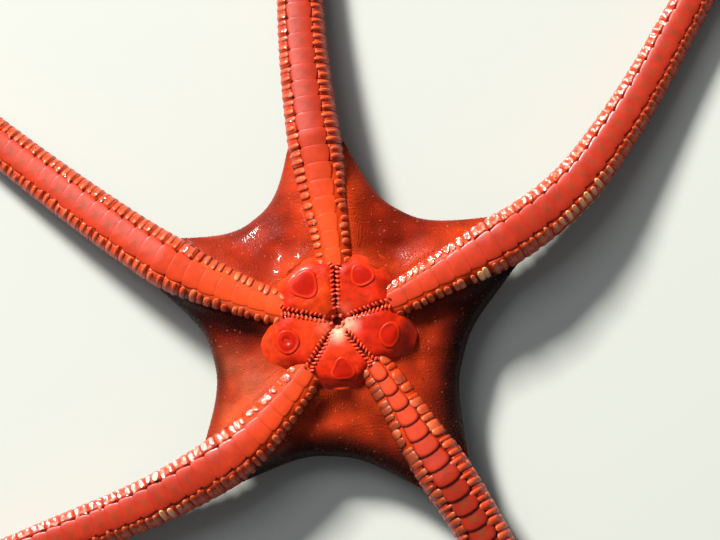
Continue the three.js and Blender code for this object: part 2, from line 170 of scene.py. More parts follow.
@dataclass(frozen=True)
class Shape:
    """A mesh before Blender has it."""

    points: Array  # places in metres, one row each
    faces: tuple[Array, ...]  # faces of four points, and faces of three, as numbers of points
    places: tuple[Array, ...]  # places of both kinds' corners on the bake map
    marks: Marks  # numbers from 0 to 1 at each point, which the finish reads by name

    @staticmethod
    def joined(shapes: Sequence["Shape"]) -> "Shape":
        """One shape that holds several, side by side.

        Args:
            shapes: The shapes, which may have different marks.

        Returns:
            Their points and faces in order, with 0 for a mark that a shape lacks.
        """
        counts = [len(shape.points) for shape in shapes]
        starts = np.cumsum([0] + counts[:-1])
        names = sorted({name for shape in shapes for name in shape.marks})
        marks = {name: [s.marks.get(name, np.zeros(n)) for s, n in zip(shapes, counts)] for name in names}
        return Shape(
            np.concatenate([shape.points for shape in shapes]),
            tuple(np.concatenate([s.faces[k] + start for s, start in zip(shapes, starts)]) for k in (0, 1)),
            tuple(np.concatenate([s.places[k] for s in shapes]) for k in (0, 1)),
            {name: np.concatenate(values) for name, values in marks.items()},
        )

    def capped(self, columns: int, pole: Sequence[float], first: bool, marks: dict[str, float]) -> "Shape":
        """Closes one end of a closed grid with a fan to one point.

        Args:
            columns: Points in a row of the grid.
            pole: The point.
            first: Whether the fan closes the first row, not the last.
            marks: Marks of the point.

        Returns:
            The grid and the fan.
        """
        row = slice(0, columns) if first else slice(-columns, None)
        ahead, behind = (0, 3) if first else (2, 1)
        rim, places = self.faces[0][row], self.places[0][row]
        fan = np.stack([rim[:, behind], np.full(columns, len(self.points)), rim[:, ahead]], axis=1)
        middle = np.broadcast_to(places[:, (ahead, behind)].mean(axis=(0, 1)), (columns, 2))
        fan_places = np.stack([places[:, behind], middle, places[:, ahead]], axis=1)
        return Shape(
            np.concatenate([self.points, np.reshape(pole, (1, 3))]),
            (self.faces[0], np.concatenate([self.faces[1], fan])),
            (self.places[0], np.concatenate([self.places[1], fan_places])),
            {name: np.append(values, marks.get(name, 0.0)) for name, values in self.marks.items()},
        )

    def flipped(self) -> "Shape":
        """The same shape with its faces turned over."""
        faces, places = (tuple(rows[:, ::-1] for rows in kinds) for kinds in (self.faces, self.places))
        return replace(self, faces=faces, places=places)

    def facing_out(self) -> "Shape":
        """A closed shape with its faces outwards, by the sign of the volume: sum of a · (b x c) / 6.

        Returns:
            The shape, turned over if the sum is below zero.
        """
        quads, triangles = self.faces
        corners = self.points[np.concatenate([quads[:, :3], quads[:, (0, 2, 3)], triangles])]
        volume = np.einsum("ij,ij->i", corners[:, 0], np.cross(corners[:, 1], corners[:, 2])).sum()
        return self if volume >= 0 else self.flipped()

    def welded(self) -> "Shape":
        """Merges points at the same place, and drops the faces that this folds to a line.

        Returns:
            The shape with each place once.
        """
        keys = np.round(self.points / WELD).astype(np.int64)
        _, first, inverse = np.unique(keys, axis=0, return_index=True, return_inverse=True)
        faces = [inverse.ravel()[rows] for rows in self.faces]
        whole = [(np.diff(np.sort(rows, axis=1), axis=1) > 0).all(axis=1) for rows in faces]
        return Shape(
            self.points[first],
            tuple(rows[kept] for rows, kept in zip(faces, whole)),
            tuple(rows[kept] for rows, kept in zip(self.places, whole)),
            {name: values[first] for name, values in self.marks.items()},
        )

    def piece(self, name: str, finish: "Finish", slot: Slot, *nodes: str) -> None:
        """Makes the shape a smooth Blender object that rides on the part and rests on the floor.

        Args:
            name: Name of the object.
            finish: What its surface looks like.
            slot: Material slot of the record; not used.
            nodes: Names of the solids that it stands for.
        """
        mesh = bpy.data.meshes.new(name)
        resting = np.maximum(self.points, (-math.inf, -math.inf, 0.0))
        corners = np.concatenate([rows.ravel() for rows in self.faces])
        sizes = np.concatenate([np.full(len(rows), rows.shape[1]) for rows in self.faces])
        places = np.concatenate([rows.reshape(-1, 2) for rows in self.places])
        mesh.vertices.add(len(resting))
        mesh.vertices.foreach_set("co", resting.astype(np.float32).ravel())
        mesh.loops.add(len(corners))
        mesh.loops.foreach_set("vertex_index", corners.astype(np.int32))
        mesh.polygons.add(len(sizes))
        mesh.polygons.foreach_set("loop_start", (np.cumsum(sizes) - sizes).astype(np.int32))
        mesh.polygons.foreach_set("use_smooth", np.ones(len(sizes), bool))
        mesh.update(calc_edges=True)
        bake_map = mesh.uv_layers.new(name=BAKE_MAP)
        bake_map.data.foreach_set("uv", np.clip(places, 0.0, 1.0).astype(np.float32).ravel())
        for mark, values in self.marks.items():
            attribute = mesh.attributes.new(mark, "FLOAT", "POINT")
            attribute.data.foreach_set("value", values.astype(np.float32))
        mesh.materials.append(finish.material())
        made = add_object(name, mesh)
        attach(made, BODY)
        if nodes:
            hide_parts(*nodes)
        LOG.info("%s: %d triangles", name, (sizes - 2).sum())


def grid(points: Array, places: Array, marks: Marks, closed: bool = False) -> Shape:
    """Surface over a grid of points, facing the side from which its rows run up and columns left.

    Args:
        points: Grid of points, rows by columns by 3.
        places: Their places on the bake map, which may have a column more when the grid is closed.
        marks: Numbers that spread over rows by columns.
        closed: Whether the last column meets the first.

    Returns:
        The surface.
    """
    rows, columns = points.shape[:2]
    index = np.arange(rows * columns).reshape(rows, columns)
    if closed:
        index = np.concatenate([index, index[:, :1]], axis=1)
        places = np.concatenate([places, places[:, :1]], axis=1)[:, : columns + 1]
    quads, corners = (
        np.stack((v[:-1, :-1], v[1:, :-1], v[1:, 1:], v[:-1, 1:]), axis=2).reshape(-1, 4, *v.shape[2:])
        for v in (index, places)
    )
    return Shape(
        points.reshape(-1, 3),
        (quads, np.zeros((0, 3), int)),
        (corners, np.zeros((0, 3, 2))),
        {name: np.broadcast_to(values, (rows, columns)).ravel() for name, values in marks.items()},
    )


@dataclass(frozen=True)
class Template:
    """A small closed form in shares of its length, width and height, to be laid down many times."""

    form: Shape

    @staticmethod
    def dome(rings: Pairs, sides: int, outline: Callable[[Array], Array] = round_outline) -> "Template":
        """Rings of one outline around a crown, closed below.

        Args:
            rings: Size and height of each ring, from the crown outwards.
            sides: Points in a ring.
            outline: Gives the length and width shares of the outline at an angle.

        Returns:
            The template, with the ring's size in the mark "edge".
        """
        sizes, heights = np.array(rings).T[..., None]
        flat = sizes[..., None] * outline(around(sides))[None]
        local = np.concatenate([flat, np.broadcast_to(heights[..., None], (*flat.shape[:2], 1))], axis=2)
        poles = [(0, 0, float(heights[end, 0])) for end in (0, -1)]
        return Template._closed(local, "edge", sizes, poles, (sizes[0, 0], sizes[-1, 0]))

    @staticmethod
    def tooth(rings: Pairs, sides: int, towards: int = 1, tilt: float = 0.0) -> "Template":
        """Blunt tooth or spine across, with its root at the origin and its tip one unit to the side.

        Args:
            rings: Share of the reach and share of the width at each ring, from the root.
            sides: Points in a ring.
            towards: Side of the tip, 1 for left and -1 for right.
            tilt: How far the tip stands up, over the thickness.

        Returns:
            The template, with the share of the reach in the mark "reach".
        """
        reach, wide = np.array(rings).T[..., None]
        along, up = wide * np.cos(around(sides)) / 2, wide * np.sin(around(sides)) / 2 + tilt * reach**2
        local = np.stack([along, np.broadcast_to(towards * reach, along.shape), up], axis=2)
        root = float(reach[0, 0])
        poles = ((0, towards * root, tilt * root**2), (0, towards, tilt))
        return Template._closed(local, "reach", reach, poles, (root, 1.0))

    @staticmethod
    def _closed(
        local: Array, mark: str, values: Array, poles: Sequence[Sequence[float]], ends: Sequence[float]
    ) -> "Template":
        """Template over a closed grid with a pole at each end.

        Args:
            local: Grid of points.
            mark: Name of its mark.
            values: The mark over the grid.
            poles: Poles of the first and last rows.
            ends: The mark at the poles.

        Returns:
            The template.
        """
        shape = grid(local, local[..., :2], {mark: values}, closed=True)
        for first, pole, end in zip((True, False), poles, ends):
            shape = shape.capped(local.shape[1], pole, first, {mark: end})
        return Template(shape.facing_out())

    @staticmethod
    def pillow(rows: int, columns: int, height: Callable[[Array, Array], Array]) -> "Template":
        """Sheet over a square from -1 to 1 with a height at each point, closed below by a fan.

        Args:
            rows: Points along, denser towards the ends.
            columns: Points across.
            height: Gives the height from the length and width shares.

        Returns:
            The template.
        """
        even = np.linspace(-1, 1, rows)
        denser = np.sign(even) * (1 - (1 - np.abs(even)) ** 2)
        along, across = np.meshgrid(denser, np.linspace(-1, 1, columns), indexing="ij")
        local = np.stack([along, across, height(along, across)], axis=2)
        shape = grid(local, local[..., :2], {})
        index = np.arange(rows * columns).reshape(rows, columns)
        rim = np.concatenate([index[0, :-1], index[:-1, -1], index[-1, :0:-1], index[:0:-1, 0]])
        fan = np.stack([rim, np.roll(rim, -1), np.full(len(rim), len(shape.points))], axis=1)
        points = np.concatenate([shape.points, [(0.0, 0.0, local[..., 2].min())]])
        closed = Shape(points, (shape.faces[0], fan), (shape.places[0], points[fan][..., :2]), {})
        return Template(closed.facing_out())

    def laid(self, points: Array, places: Array, marks: Marks) -> Shape:
        """Copies of the template whose points are already worked out.

        Args:
            points: Copies by the template's points by 3.
            places: Copies by the template's points by 2, on the bake map.
            marks: Numbers that spread over copies by the template's points.

        Returns:
            All the copies as one shape.
        """
        copies, size = points.shape[:2]
        starts = (np.arange(copies) * size)[:, None, None]
        faces = tuple((rows[None] + starts).reshape(-1, rows.shape[1]) for rows in self.form.faces)
        return Shape(
            points.reshape(-1, 3),
            faces,
            tuple(places.reshape(-1, 2)[rows] for rows in faces),
            {name: np.broadcast_to(values, (copies, size)).ravel() for name, values in marks.items()},
        )

    def set_out(
        self, origin: Array, axes: Sequence[Array], place: Array, place_size: float, marks: Marks
    ) -> Shape:
        """Copies of the template, each the origin plus length, width and height times its three vectors.

        Args:
            origin: Origin of each copy.
            axes: What one unit of length, width and height is, as vectors of each copy.
            place: Place of each origin on the bake map.
            place_size: What one unit is there.
            marks: Numbers that spread over copies by the template's points.

        Returns:
            All the copies as one shape.
        """
        steps = [share[None, :, None] * axis[:, None] for share, axis in zip(self.form.points.T, axes)]
        places = place[:, None] + place_size * self.form.points[None, :, :2]
        return self.laid(origin[:, None] + steps[0] + steps[1] + steps[2], places, marks)


@dataclass(frozen=True)
class Section:
    """Cross section of an arm, two half superellipses that meet at the flanks.

    At an angle a from the top, side is |sin a| and height |cos a|, each to the power 2 / roundness.
    The turn is the share of the way round, by length, from -0.5 to 0.5 with 0 at the top.
    """

    half_width: float = 0.45
    height: float = 0.77
    flank: float = 0.42
    top_roundness: float = 2.7
    sole_roundness: float = 2.3
    samples: int = 6001

    @cached_property
    def table(self) -> tuple[Array, Array, Array, float]:
        """Samples of the section.

        Returns:
            Turn, side and height of each, and the way round an arm of width one.
        """
        angle = np.linspace(-math.pi, math.pi, self.samples)
        upper = np.abs(angle) <= math.pi / 2
        power = np.where(upper, 2 / self.top_roundness, 2 / self.sole_roundness)
        side, up = signed_power(np.sin(angle), power), signed_power(np.cos(angle), power)
        tall = self.height * np.where(up > 0, 1 - self.flank, self.flank)
        steps = np.hypot(np.diff(side * self.half_width), np.diff(up * tall))
        length = np.concatenate([[0], np.cumsum(steps)])
        return length / length[-1] - 0.5, side, up, float(length[-1])

    @cached_property
    def flank_turn(self) -> float:
        """Turn at the left flank."""
        left = self.table[0] > 0
        return float(np.interp(0.0, -self.table[2][left], self.table[0][left]))

    def at(self, turn: Array) -> tuple[Array, Array]:
        """Side and height shares at a turn, which may run past half a turn."""
        wrapped = (turn + 0.5) % 1.0 - 0.5
        return tuple(np.interp(wrapped, self.table[0], values) for values in self.table[1:3])


SECTION = Section()


@dataclass(frozen=True)
class ArmSizes:
    """Sizes that all five arms share.

    Width falls as (1 - along / length) to a power from the disc to the tip, with a short flare at the
    root. Inside the disc the arm is a ridge that narrows to the mouth.
    """

    width: float = 6.75 * MM
    tip_width: float = 0.7 * MM
    taper: float = 1.15
    root_flare: float = 0.5 * MM
    root_flare_start: float = 15 * MM
    root_flare_length: float = 3 * MM
    back_lift: float = 2.6 * MM
    lift_start: float = 12 * MM
    lift_end: float = 45 * MM
    ridge_inner_half: float = 1.85 * MM
    ridge_top: float = 7.0 * MM
    ridge_foot: float = 5.45 * MM
    rise_start: float = 9 * MM
    arm_skin: float = 0.028  # how deep the skin lies under the plates, over the width
    ridge_skin: float = 0.003
    skin_rise_start: float = 13 * MM
    seat: float = 0.018  # the back plates' rise over the width, which the back stands off the floor
    least_pitch: float = 0.68 * MM
    pitch_share: float = 0.18

    def outer_width(self, along: Array) -> Array:
        """Width over the side spines, past the disc.

        Args:
            along: Length along the arm.

        Returns:
            The width there.
        """
        share = np.clip(1 - along / ARM_LENGTH, 0.0, 1.0) ** self.taper
        past = np.minimum(self.root_flare_start - along, 0.0)
        flare = self.root_flare * np.exp(past / self.root_flare_length)
        return self.tip_width + (self.width - self.tip_width) * share + flare

    def girth_width(self, along: Array) -> Array:
        """Width that sets the section's size, also where the arm is a ridge of the disc.

        Args:
            along: Length along the arm.

        Returns:
            The width there.
        """
        full = self.outer_width(np.full(1, DISC_EDGE))[0]
        inner = self.ridge_inner_half / SECTION.half_width
        ridge = mix(inner, full, smooth_step(RIDGE_INNER, DISC_EDGE, along))
        return np.where(along < DISC_EDGE, ridge, self.outer_width(along))

    def sole(self, along: Array) -> Array:
        """Height of the arm's back above the floor."""
        lift = self.back_lift * (1 - smooth_step(self.lift_start, self.lift_end, along))
        return lift + self.seat * self.outer_width(along)

    def _level(self, along: Array, ridge: float, share: float) -> Array:
        """Height of a line along the arm.

        Args:
            along: Length along the arm.
            ridge: Its height on the disc's ridge.
            share: Its height past the disc, over the section's.

        Returns:
            The heights above the floor.
        """
        edge = np.maximum(along, DISC_EDGE)
        arm = self.sole(edge) + share * SECTION.height * self.outer_width(edge)
        return mix(ridge, arm, smooth_step(self.rise_start, DISC_EDGE, along))

    def flank(self, along: Array) -> Array:
        """Height of the widest place of the section."""
        return self._level(along, self.ridge_foot, SECTION.flank)

    def top(self, along: Array) -> Array:
        """Height of the side that carries the mouth."""
        return self._level(along, self.ridge_top, 1.0)

    def skin_depth(self, along: Array) -> Array:
        """How deep the skin lies under the plates, less in the disc."""
        share = mix(self.ridge_skin, self.arm_skin, smooth_step(self.skin_rise_start, DISC_EDGE, along))
        return share * self.girth_width(along)

    def pitch(self, along: Array) -> Array:
        """Length of one segment, which shrinks with the arm."""
        return self.least_pitch + self.pitch_share * self.outer_width(np.maximum(along, DISC_EDGE))


SIZES = ArmSizes()


@dataclass(frozen=True)
class Look:
    """How one arm differs from the others."""

    groove: float  # how deep the grooves between its plates are, and how dark with painted shade
    close: float  # turn by which its side rows lean over the plates
    spot: float  # how clear the spot in the middle of each plate is
    bright: float  # how bright its plates are in the disc: a paler tone there and painted light, set arm by arm
    deep: float  # how deep the red of its plates and side plates is: its own tone, and on arm 4 painted shade
    lumpy: float = 0.0  # how thick and uneven its teeth are
    painted_flank_shade: tuple[float, float] = (0.0, 0.0)  # painted shade: how brown the teeth on its left and right are, on the flank away from the light
    matt: tuple[float, float] = (0.8, 0.8)  # how thin the film of water on its flanks is; where it is thick the teeth are painted paler as glints


# Arm by arm, bright, deep and the flank shade paint light and shade by how each arm lies to the light
LOOKS = (
    Look(0.12, -0.006, 0.3, 0.95, 0.3, matt=(0.3, 1.0)),
    Look(0.1, -0.008, 0.5, 1.0, 0.0, painted_flank_shade=(0.2, 0.0), matt=(0.9, 0.0)),
    Look(0.2, -0.014, 0.45, 0.65, 0.25, 0.2, (0.25, 0.0), (0.9, 0.0)),
    Look(1.0, 0.01, 0.75, 0.6, 0.5, 1.0, (0.05, 0.75), (0.85, 0.95)),
    Look(0.16, -0.014, 0.5, 0.3, 0.15, painted_flank_shade=(0.0, 0.25), matt=(0.0, 0.9)),
)


@dataclass(frozen=True)
class Arm:
    """One arm as a surface over the length along its line and the turn around it."""

    number: int  # anticlockwise seen from above
    headings: Pairs
    look: Look
    step: float = 0.5 * MM
    slope_step: float = 0.04 * MM
    slope_turn: float = 0.003
    first_joint: float = 5.5 * MM
    tip_bare: float = 1.2 * MM
    folds: int = 3  # rows of its unwrap on its bake map
    fold_margin: float = 0.02
    unwrap_cut: float = 0.62  # place on the map of its top, so that the cut lies beside its back plates

    @property
    def name(self) -> str:
        """What the names of its pieces start with."""
        return f"arm_{self.number}"

    def heading(self, along: Array) -> Array:
        """Direction of the line in radians."""
        lengths, degrees = np.array(self.headings, float).T
        return np.interp(along, lengths * MM, np.radians(degrees))

    @cached_property
    def line(self) -> Array:
        """The line, traced in steps along its headings.

        Returns:
            Length along, x and y of its points, a row each.
        """
        middles = np.arange(self.step / 2, ARM_LENGTH, self.step)
        angle = self.heading(middles)
        way = np.cumsum(self.step * np.stack([np.cos(angle), np.sin(angle)]), axis=1)
        return np.concatenate([np.zeros((3, 1)), np.stack([middles + self.step / 2, *way])], axis=1)

    def beside(self, along: Array, side: Array, height: Array) -> Array:
        """A point beside the line: the line's point plus side times the unit vector to its left.

        Args:
            along: Length along the arm.
            side: Distance to the left, looking outwards.
            height: Height above the floor.

        Returns:
            The points.
        """
        angle = self.heading(along)
        x, y = (np.interp(along, self.line[0], values) for values in self.line[1:])
        x, y = x - side * np.sin(angle), y + side * np.cos(angle)
        return np.stack(np.broadcast_arrays(x, y, height), axis=-1)

    def bare(self, along: Array, turn: Array) -> Array:
        """Point of the outer surface: the section scaled to the width, flank, top and sole there.

        Args:
            along: Length along the arm.
            turn: Turn around it.

        Returns:
            The points.
        """
        side, up = SECTION.at(turn)
        flank = SIZES.flank(along)
        tall = np.where(up > 0, SIZES.top(along) - flank, flank - SIZES.sole(along))
        return self.beside(along, side * SECTION.half_width * SIZES.girth_width(along), flank + up * tall)

    def normal(self, along: Array, turn: Array) -> Array:
        """Direction out of the outer surface, the cross product of its slopes.

        Args:
            along: Length along the arm.
            turn: Turn around it.

        Returns:
            Vectors of length one.
        """
        ahead = self.bare(along + self.slope_step, turn) - self.bare(along - self.slope_step, turn)
        aside = self.bare(along, turn + self.slope_turn) - self.bare(along, turn - self.slope_turn)
        return unit(np.cross(ahead, aside))

    def place(self, along: Array, turn: Array, lift: Array) -> Array:
        """Point at a distance out of the outer surface."""
        along, turn, lift = np.broadcast_arrays(along, turn, lift)
        return self.bare(along, turn) + self.normal(along, turn) * lift[..., None]

    def girth(self, along: Array) -> Array:
        """Way round the arm."""
        return SECTION.table[3] * SIZES.girth_width(along)

    def skin(self, along: Array, turn: Array) -> Array:
        """Point of the skin."""
        return self.place(along, turn, -SIZES.skin_depth(along))

    @cached_property
    def joints(self) -> Array:
        """Where the segments start, from the mouth outwards, each a pitch after the last.

        Returns:
            Lengths along the arm.
        """
        starts = [self.first_joint]
        while starts[-1] < ARM_LENGTH - self.tip_bare:
            starts.append(starts[-1] + float(SIZES.pitch(np.array(starts[-1]))))
        return np.array(starts)

    def laid(
        self,
        template: Template,
        origin: tuple[Array, Array],
        sizes: tuple[Array, Array, Array],
        marks: Marks,
        rise: tuple[Array, Array] = (0.0, 0.0),
        bridged: bool = False,
    ) -> Shape:
        """Lays copies of a template on the arm, bent to its surface.

        Args:
            template: What is laid down.
            origin: Length along the arm and turn of each copy's origin.
            sizes: Length, width and height that one unit of the template takes.
            marks: Numbers that spread over copies by the template's points.
            rise: Lift at the origin and at one unit of length.
            bridged: Whether a film of water spans the copies, which then carry the arm's own normal.

        Returns:
            The copies as one shape.
        """
        along, turn, length, width, height, low, high = (
            np.asarray(value)[..., None] for value in np.broadcast_arrays(*origin, *sizes, *rise)
        )
        p, q, h = (column[None] for column in template.form.points.T)
        s = along + p * length
        t = turn + q * width / self.girth(along)
        lift = h * height + low + (high - low) * p
        row = np.floor(np.clip(along / ARM_LENGTH, 0, 0.999) * self.folds)
        u = self.fold_margin + (1 - 2 * self.fold_margin) * (s / ARM_LENGTH * self.folds - row)
        v = (row + (turn + self.unwrap_cut) % 1.0 + t - turn) / self.folds
        if bridged:
            faces = unit(self.normal(s, t) + np.array([0.0, 0.0, FILM_LEVEL]))
            marks = {**marks, **dict(zip(FILM_MARKS, np.moveaxis(faces, -1, 0)))}
        return template.laid(self.place(s, t, lift), np.stack([u, v], axis=-1), marks)


def plate_outline(squareness: float, bulge: float, waist: float) -> Callable[[Array], Array]:
    """Outline of a plate: a superellipse with a bulging outer end and a waist beside the pores.

    Args:
        squareness: Power of the superellipse.
        bulge: Share by which the middle of the outer end stands out.
        waist: Share by which the sides are drawn in towards the mouth.

    Returns:
        A function from angles to length and width shares.
    """

    def outline(angle: Array) -> Array:
        """Length and width shares of the outline.

        Args:
            angle: Angles round it.

        Returns:
            The shares, a row for each angle.
        """
        p, q = (signed_power(ratio, 2 / squareness) for ratio in (np.cos(angle), np.sin(angle)))
        p = p * (1 + bulge * np.sign(p) * (1 - q * q))
        return np.stack([p, q * (1 - waist * bell(p, -0.55, 0.35) + 0.04 * p)], axis=1)

    return outline


@dataclass(frozen=True)
class Rib:
    """One cross rib of blunt teeth in every segment, on both sides of an arm, with the tips inwards."""

    start: float  # where it lies, as a share of the segment
    thick: float  # size of its teeth along the arm, over the segment
    size: float  # length of its first tooth, over a full one


RIBS = (Rib(0.27, 0.31, 1.0), Rib(0.76, 0.29, 0.94))


@dataclass(frozen=True)
class Ruffle:
    """A stretch of one side of an arm where the first spines of each row stand up."""

    arm: int
    side: int
    middle: float
    reach: float
    depth: int = 1  # how many spines of a row stand

    def strength(self, arm: int, side: int, along: Array, rank: Array) -> Array:
        """Bell curve around the middle, or nothing on another arm or side or deeper in the row."""
        here = (arm, side) == (self.arm, self.side)
        return bell(along, self.middle, self.reach) * (rank < self.depth) * here


RUFFLES = (
    Ruffle(5, -1, 26 * MM, 3.6 * MM, 2),
    Ruffle(5, -1, 14.2 * MM, 1.2 * MM),
    Ruffle(3, -1, 25.2 * MM, 1.0 * MM),
    Ruffle(3, 1, 24.6 * MM, 1.3 * MM),
)


@dataclass(frozen=True)
class ArmCoat:
    """Plates and ribs of an arm: sizes are shares of its width or of a segment, turns of the way round."""

    arm: Arm
    plate_half: float = 0.25  # half width of a plate on the mouth side
    plate_fill: float = 0.515  # half its length, so that neighbours meet
    plate_rise: float = 0.02
    lap: float = 0.013  # how far a plate overlaps the next where the grooves are deep
    back_half: float = 0.33
    back_start: float = 13.2 * MM
    band: float = 7.3  # segments from one pale band of the back to the next
    side_half: float = 0.505
    side_rise: float = 0.012
    side_start: float = 15.5 * MM
    first_turn: float = 0.083
    last_turn: float = 0.43
    tooth: float = 0.26  # length of a rib's first tooth
    inner_tooth: float = 0.37  # the same where the arm is a ridge of the disc
    inner_thick: float = 1.25  # how much thicker it is there
    next_tooth: float = 0.19
    next_turn: float = 0.085  # from one tooth of a rib to the next
    tooth_height: float = 0.042
    inner_height: float = 0.036
    next_lower: float = 0.01  # how much lower the other teeth of a rib are
    sunk: float = 0.05  # how far a tooth stands off the arm, over its height
    tilts: tuple[float, float] = (0.3, 1.5)  # how far the tips of lying and standing spines rise
    standing: float = 0.25  # how far a spine is pushed up before it stands
    # How much the teeth differ in length, thickness, turn, place and tone
    spreads: Fives = (0.07, 0.06, 0.003, 0.02, 0.07)
    first_tone: float = 0.24  # how pale the tips of a rib's first teeth are
    next_tone: float = 0.1
    painted_glint_tone: float = 0.35  # painted glints: how much paler the others are on a flank under a thick film
    # Lengths along the arm between which its looks and sizes change, from the disc's to the arm's
    ridge_span: tuple[float, float] = (11 * MM, 19 * MM)
    uneven_span: tuple[float, float] = (17 * MM, 12 * MM)
    rib_span: tuple[float, float] = (12.5 * MM, 21 * MM)
    clasp_span: tuple[float, float] = (15 * MM, 22 * MM)
    narrow_span: tuple[float, float] = (6 * MM, 12 * MM)
    spot_span: tuple[float, float] = (15 * MM, 24 * MM)
    deep_span: tuple[float, float] = (8 * MM, 20 * MM)
    bright_span: tuple[float, float] = (7 * MM, 22 * MM)

    def ventral(self) -> Shape:
        """Squarish plates along the mouth side, each with a rounded outer end.

        Returns:
            The plates.
        """
        look = self.arm.look
        bevel = 0.25 + 0.75 * look.groove
        falls = ((0.76, 0.04), (0.87, 0.14), (0.945, 0.34), (0.985, 0.62), (1.0, 0.95), (1.0, 2.5 / bevel))
        rings = ((0.0001, 1.0), (0.45, 1.0), *((size, 1 - bevel * fall) for size, fall in falls))
        outline = plate_outline(6.0 - 2.2 * look.groove, 0.08 + 0.14 * look.groove, 0.05)
        template = Template.dome(rings, 28, outline)
        along, pitch, width = self._segments()
        edge = template.form.marks["edge"][None]
        spotted, deep, dim = (
            smooth_step(*span, along)[:, None] for span in (self.spot_span, self.deep_span, self.bright_span)
        )
        lap = self.lap * look.groove * width
        narrow = 1 - 0.2 * (1 - smooth_step(*self.narrow_span, along))
        sizes = (
            pitch * (self.plate_fill + 0.06 * look.groove),
            width * (self.plate_half - 0.02 * look.groove) * narrow,
            self.plate_rise * width * (0.3 + 0.7 * look.groove),
        )
        marks = {
            "spot": look.spot * bell(edge, 0.0, 0.3) * spotted,
            # painted shade at the plates' edges in the grooves, and the arm's deeper red further out
            "deep": np.maximum(np.clip((edge - 0.7) / 0.2, 0, 1) * 0.7 * look.groove, look.deep * deep),
            "bright": look.bright * (1 - 0.8 * dim),
            "matt": np.array(0.7 * look.groove),
        }
        return self.arm.laid(template, (along + pitch / 2, 0.0), sizes, marks, rise=(lap, 2.6 * lap))

    def dorsal(self) -> Shape:
        """Wide plates along the back, with paler bands every few segments.

        Returns:
            The plates.
        """
        rings = ((0.0001, 1.0), (0.5, 0.97), (0.85, 0.75), (1.0, -0.2), (0.9, -1.2))
        template = Template.dome(rings, 20, plate_outline(3.0, 0.12, 0.0))
        along, pitch, width = self._segments(self.back_start)
        wave = 0.5 + 0.5 * np.sin(np.arange(len(along)) * 2 * math.pi / self.band)
        groove = np.clip((template.form.marks["edge"][None] - 0.7) / 0.3, 0, 1)
        sizes = (pitch * self.plate_fill, width * self.back_half, self.plate_rise * width)
        marks = {"deep": groove, "earth": (0.9 - 0.35 * wave)[:, None]}
        return self.arm.laid(template, (along + pitch / 2, 0.5), sizes, marks)

    def lateral(self) -> Shape:
        """Side plates that clasp the arm like a collar and swell where the spines stand.

        Returns:
            The plates of both sides.
        """

        def swell(p: Array, q: Array) -> Array:
            """Height of a side plate."""
            inside = np.clip(1 - np.abs(p) ** 14, 0, 1) * np.clip(1 - np.abs(q) ** 9, 0, 1)
            return np.where(inside > 0.001, (0.5 + 0.5 * bell(p, -0.1, 0.6)) * inside, -1.3)

        template = Template.pillow(8, 11, swell)
        along, pitch, width = self._segments(self.side_start)
        look, q = self.arm.look, template.form.points[None, :, 1]
        end = np.interp(along, self.clasp_span, (SECTION.flank_turn - 0.05, 0.44))
        half = (end - self.first_turn) / 2 * self.arm.girth(along)
        shapes = []
        for side, matt in zip((-1, 1), look.matt[::-1]):
            outer = np.clip(side * q, -1, 1)
            marks = {
                "earth": smooth_step(-0.1, 0.6, outer),
                # bright and deep follow the arm's deep red, which on arm 4 is painted shade
                "bright": np.array(0.7 - look.deep),
                "deep": np.array(look.deep),
                "matt": matt * smooth_step(-0.6, 0.0, outer),
            }
            origin = (along + pitch / 2, side * (self.first_turn + end) / 2)
            sizes = (pitch * self.side_half, half, self.side_rise * width)
            shapes.append(self.arm.laid(template, origin, sizes, marks))
        return Shape.joined(shapes)

    def ribs(self, draw: Draw) -> Shape:
        """The teeth of all the cross ribs on both sides, with small differences from draw."""
        return Shape.joined([self._rib(rib, side, draw) for rib in RIBS for side in (-1, 1)])

    def _rib(self, rib: Rib, side: int, draw: Draw) -> Shape:
        """One kind of rib on one side: a long tooth beside the plates and shorter ones down the flank.

        Args:
            rib: The kind of rib.
            side: Side of the arm, 1 for left and -1 for right.
            draw: Source of the small differences.

        Returns:
            The teeth.
        """
        rings = ((-0.15, 0.8), (0.2, 0.95), (0.55, 0.98), (0.8, 0.94), (0.92, 0.74), (0.98, 0.4))
        arm, look = self.arm, self.arm.look
        matt, painted_flank_shade = look.matt[(1 - side) // 2], look.painted_flank_shade[(1 - side) // 2]
        starts, pitches, widths = self._segments()
        most = 1 + int((self.last_turn - self.first_turn) / self.next_turn)
        segment, rank = (index.ravel() for index in np.indices((len(starts), most)))
        start, pitch, width = starts[segment], pitches[segment], widths[segment]
        n, first, girth = len(segment), rank == 0, arm.girth(start)
        ridge_end, inner = (smooth_step(*span, start) for span in (self.ridge_span, self.uneven_span))
        long_spread, thick_spread, turn_spread, place_spread, tone_spread = self.spreads
        full = mix(self.inner_tooth, self.tooth, ridge_end) * rib.size
        length = np.where(first, full, self.next_tooth) * width * (1 + long_spread * draw.normal(size=n))
        turn = self.first_turn - look.close + full * width / girth + rank * self.next_turn
        turn = turn + turn_spread * (1 + 3 * look.lumpy) * draw.normal(size=n)
        limit = np.interp(start, self.rib_span, (0.19, self.last_turn))
        ruffle = sum((r.strength(arm.number, side, start, rank) for r in RUFFLES), np.zeros(n))
        jut = ruffle * draw.uniform(0.5, 1.0, size=n)
        small = 1 - 0.3 * smooth_step(0.0, 4.0, rank.astype(float))
        thick = mix(self.inner_thick, 1.0, ridge_end) * (1 + 0.3 * look.lumpy) * rib.thick * pitch * small
        thick = thick * (1 + (thick_spread + 0.1 * inner + 0.2 * look.lumpy) * draw.normal(size=n))
        relief = mix(self.inner_height, self.tooth_height, ridge_end) - self.next_lower * (1 - first)
        height = relief * width * rib.size
        stands = jut > self.standing
        shapes = []
        for tilt, chosen in zip(self.tilts, (~stands, stands)):
            template = Template.tooth(rings, 7, -side, tilt)
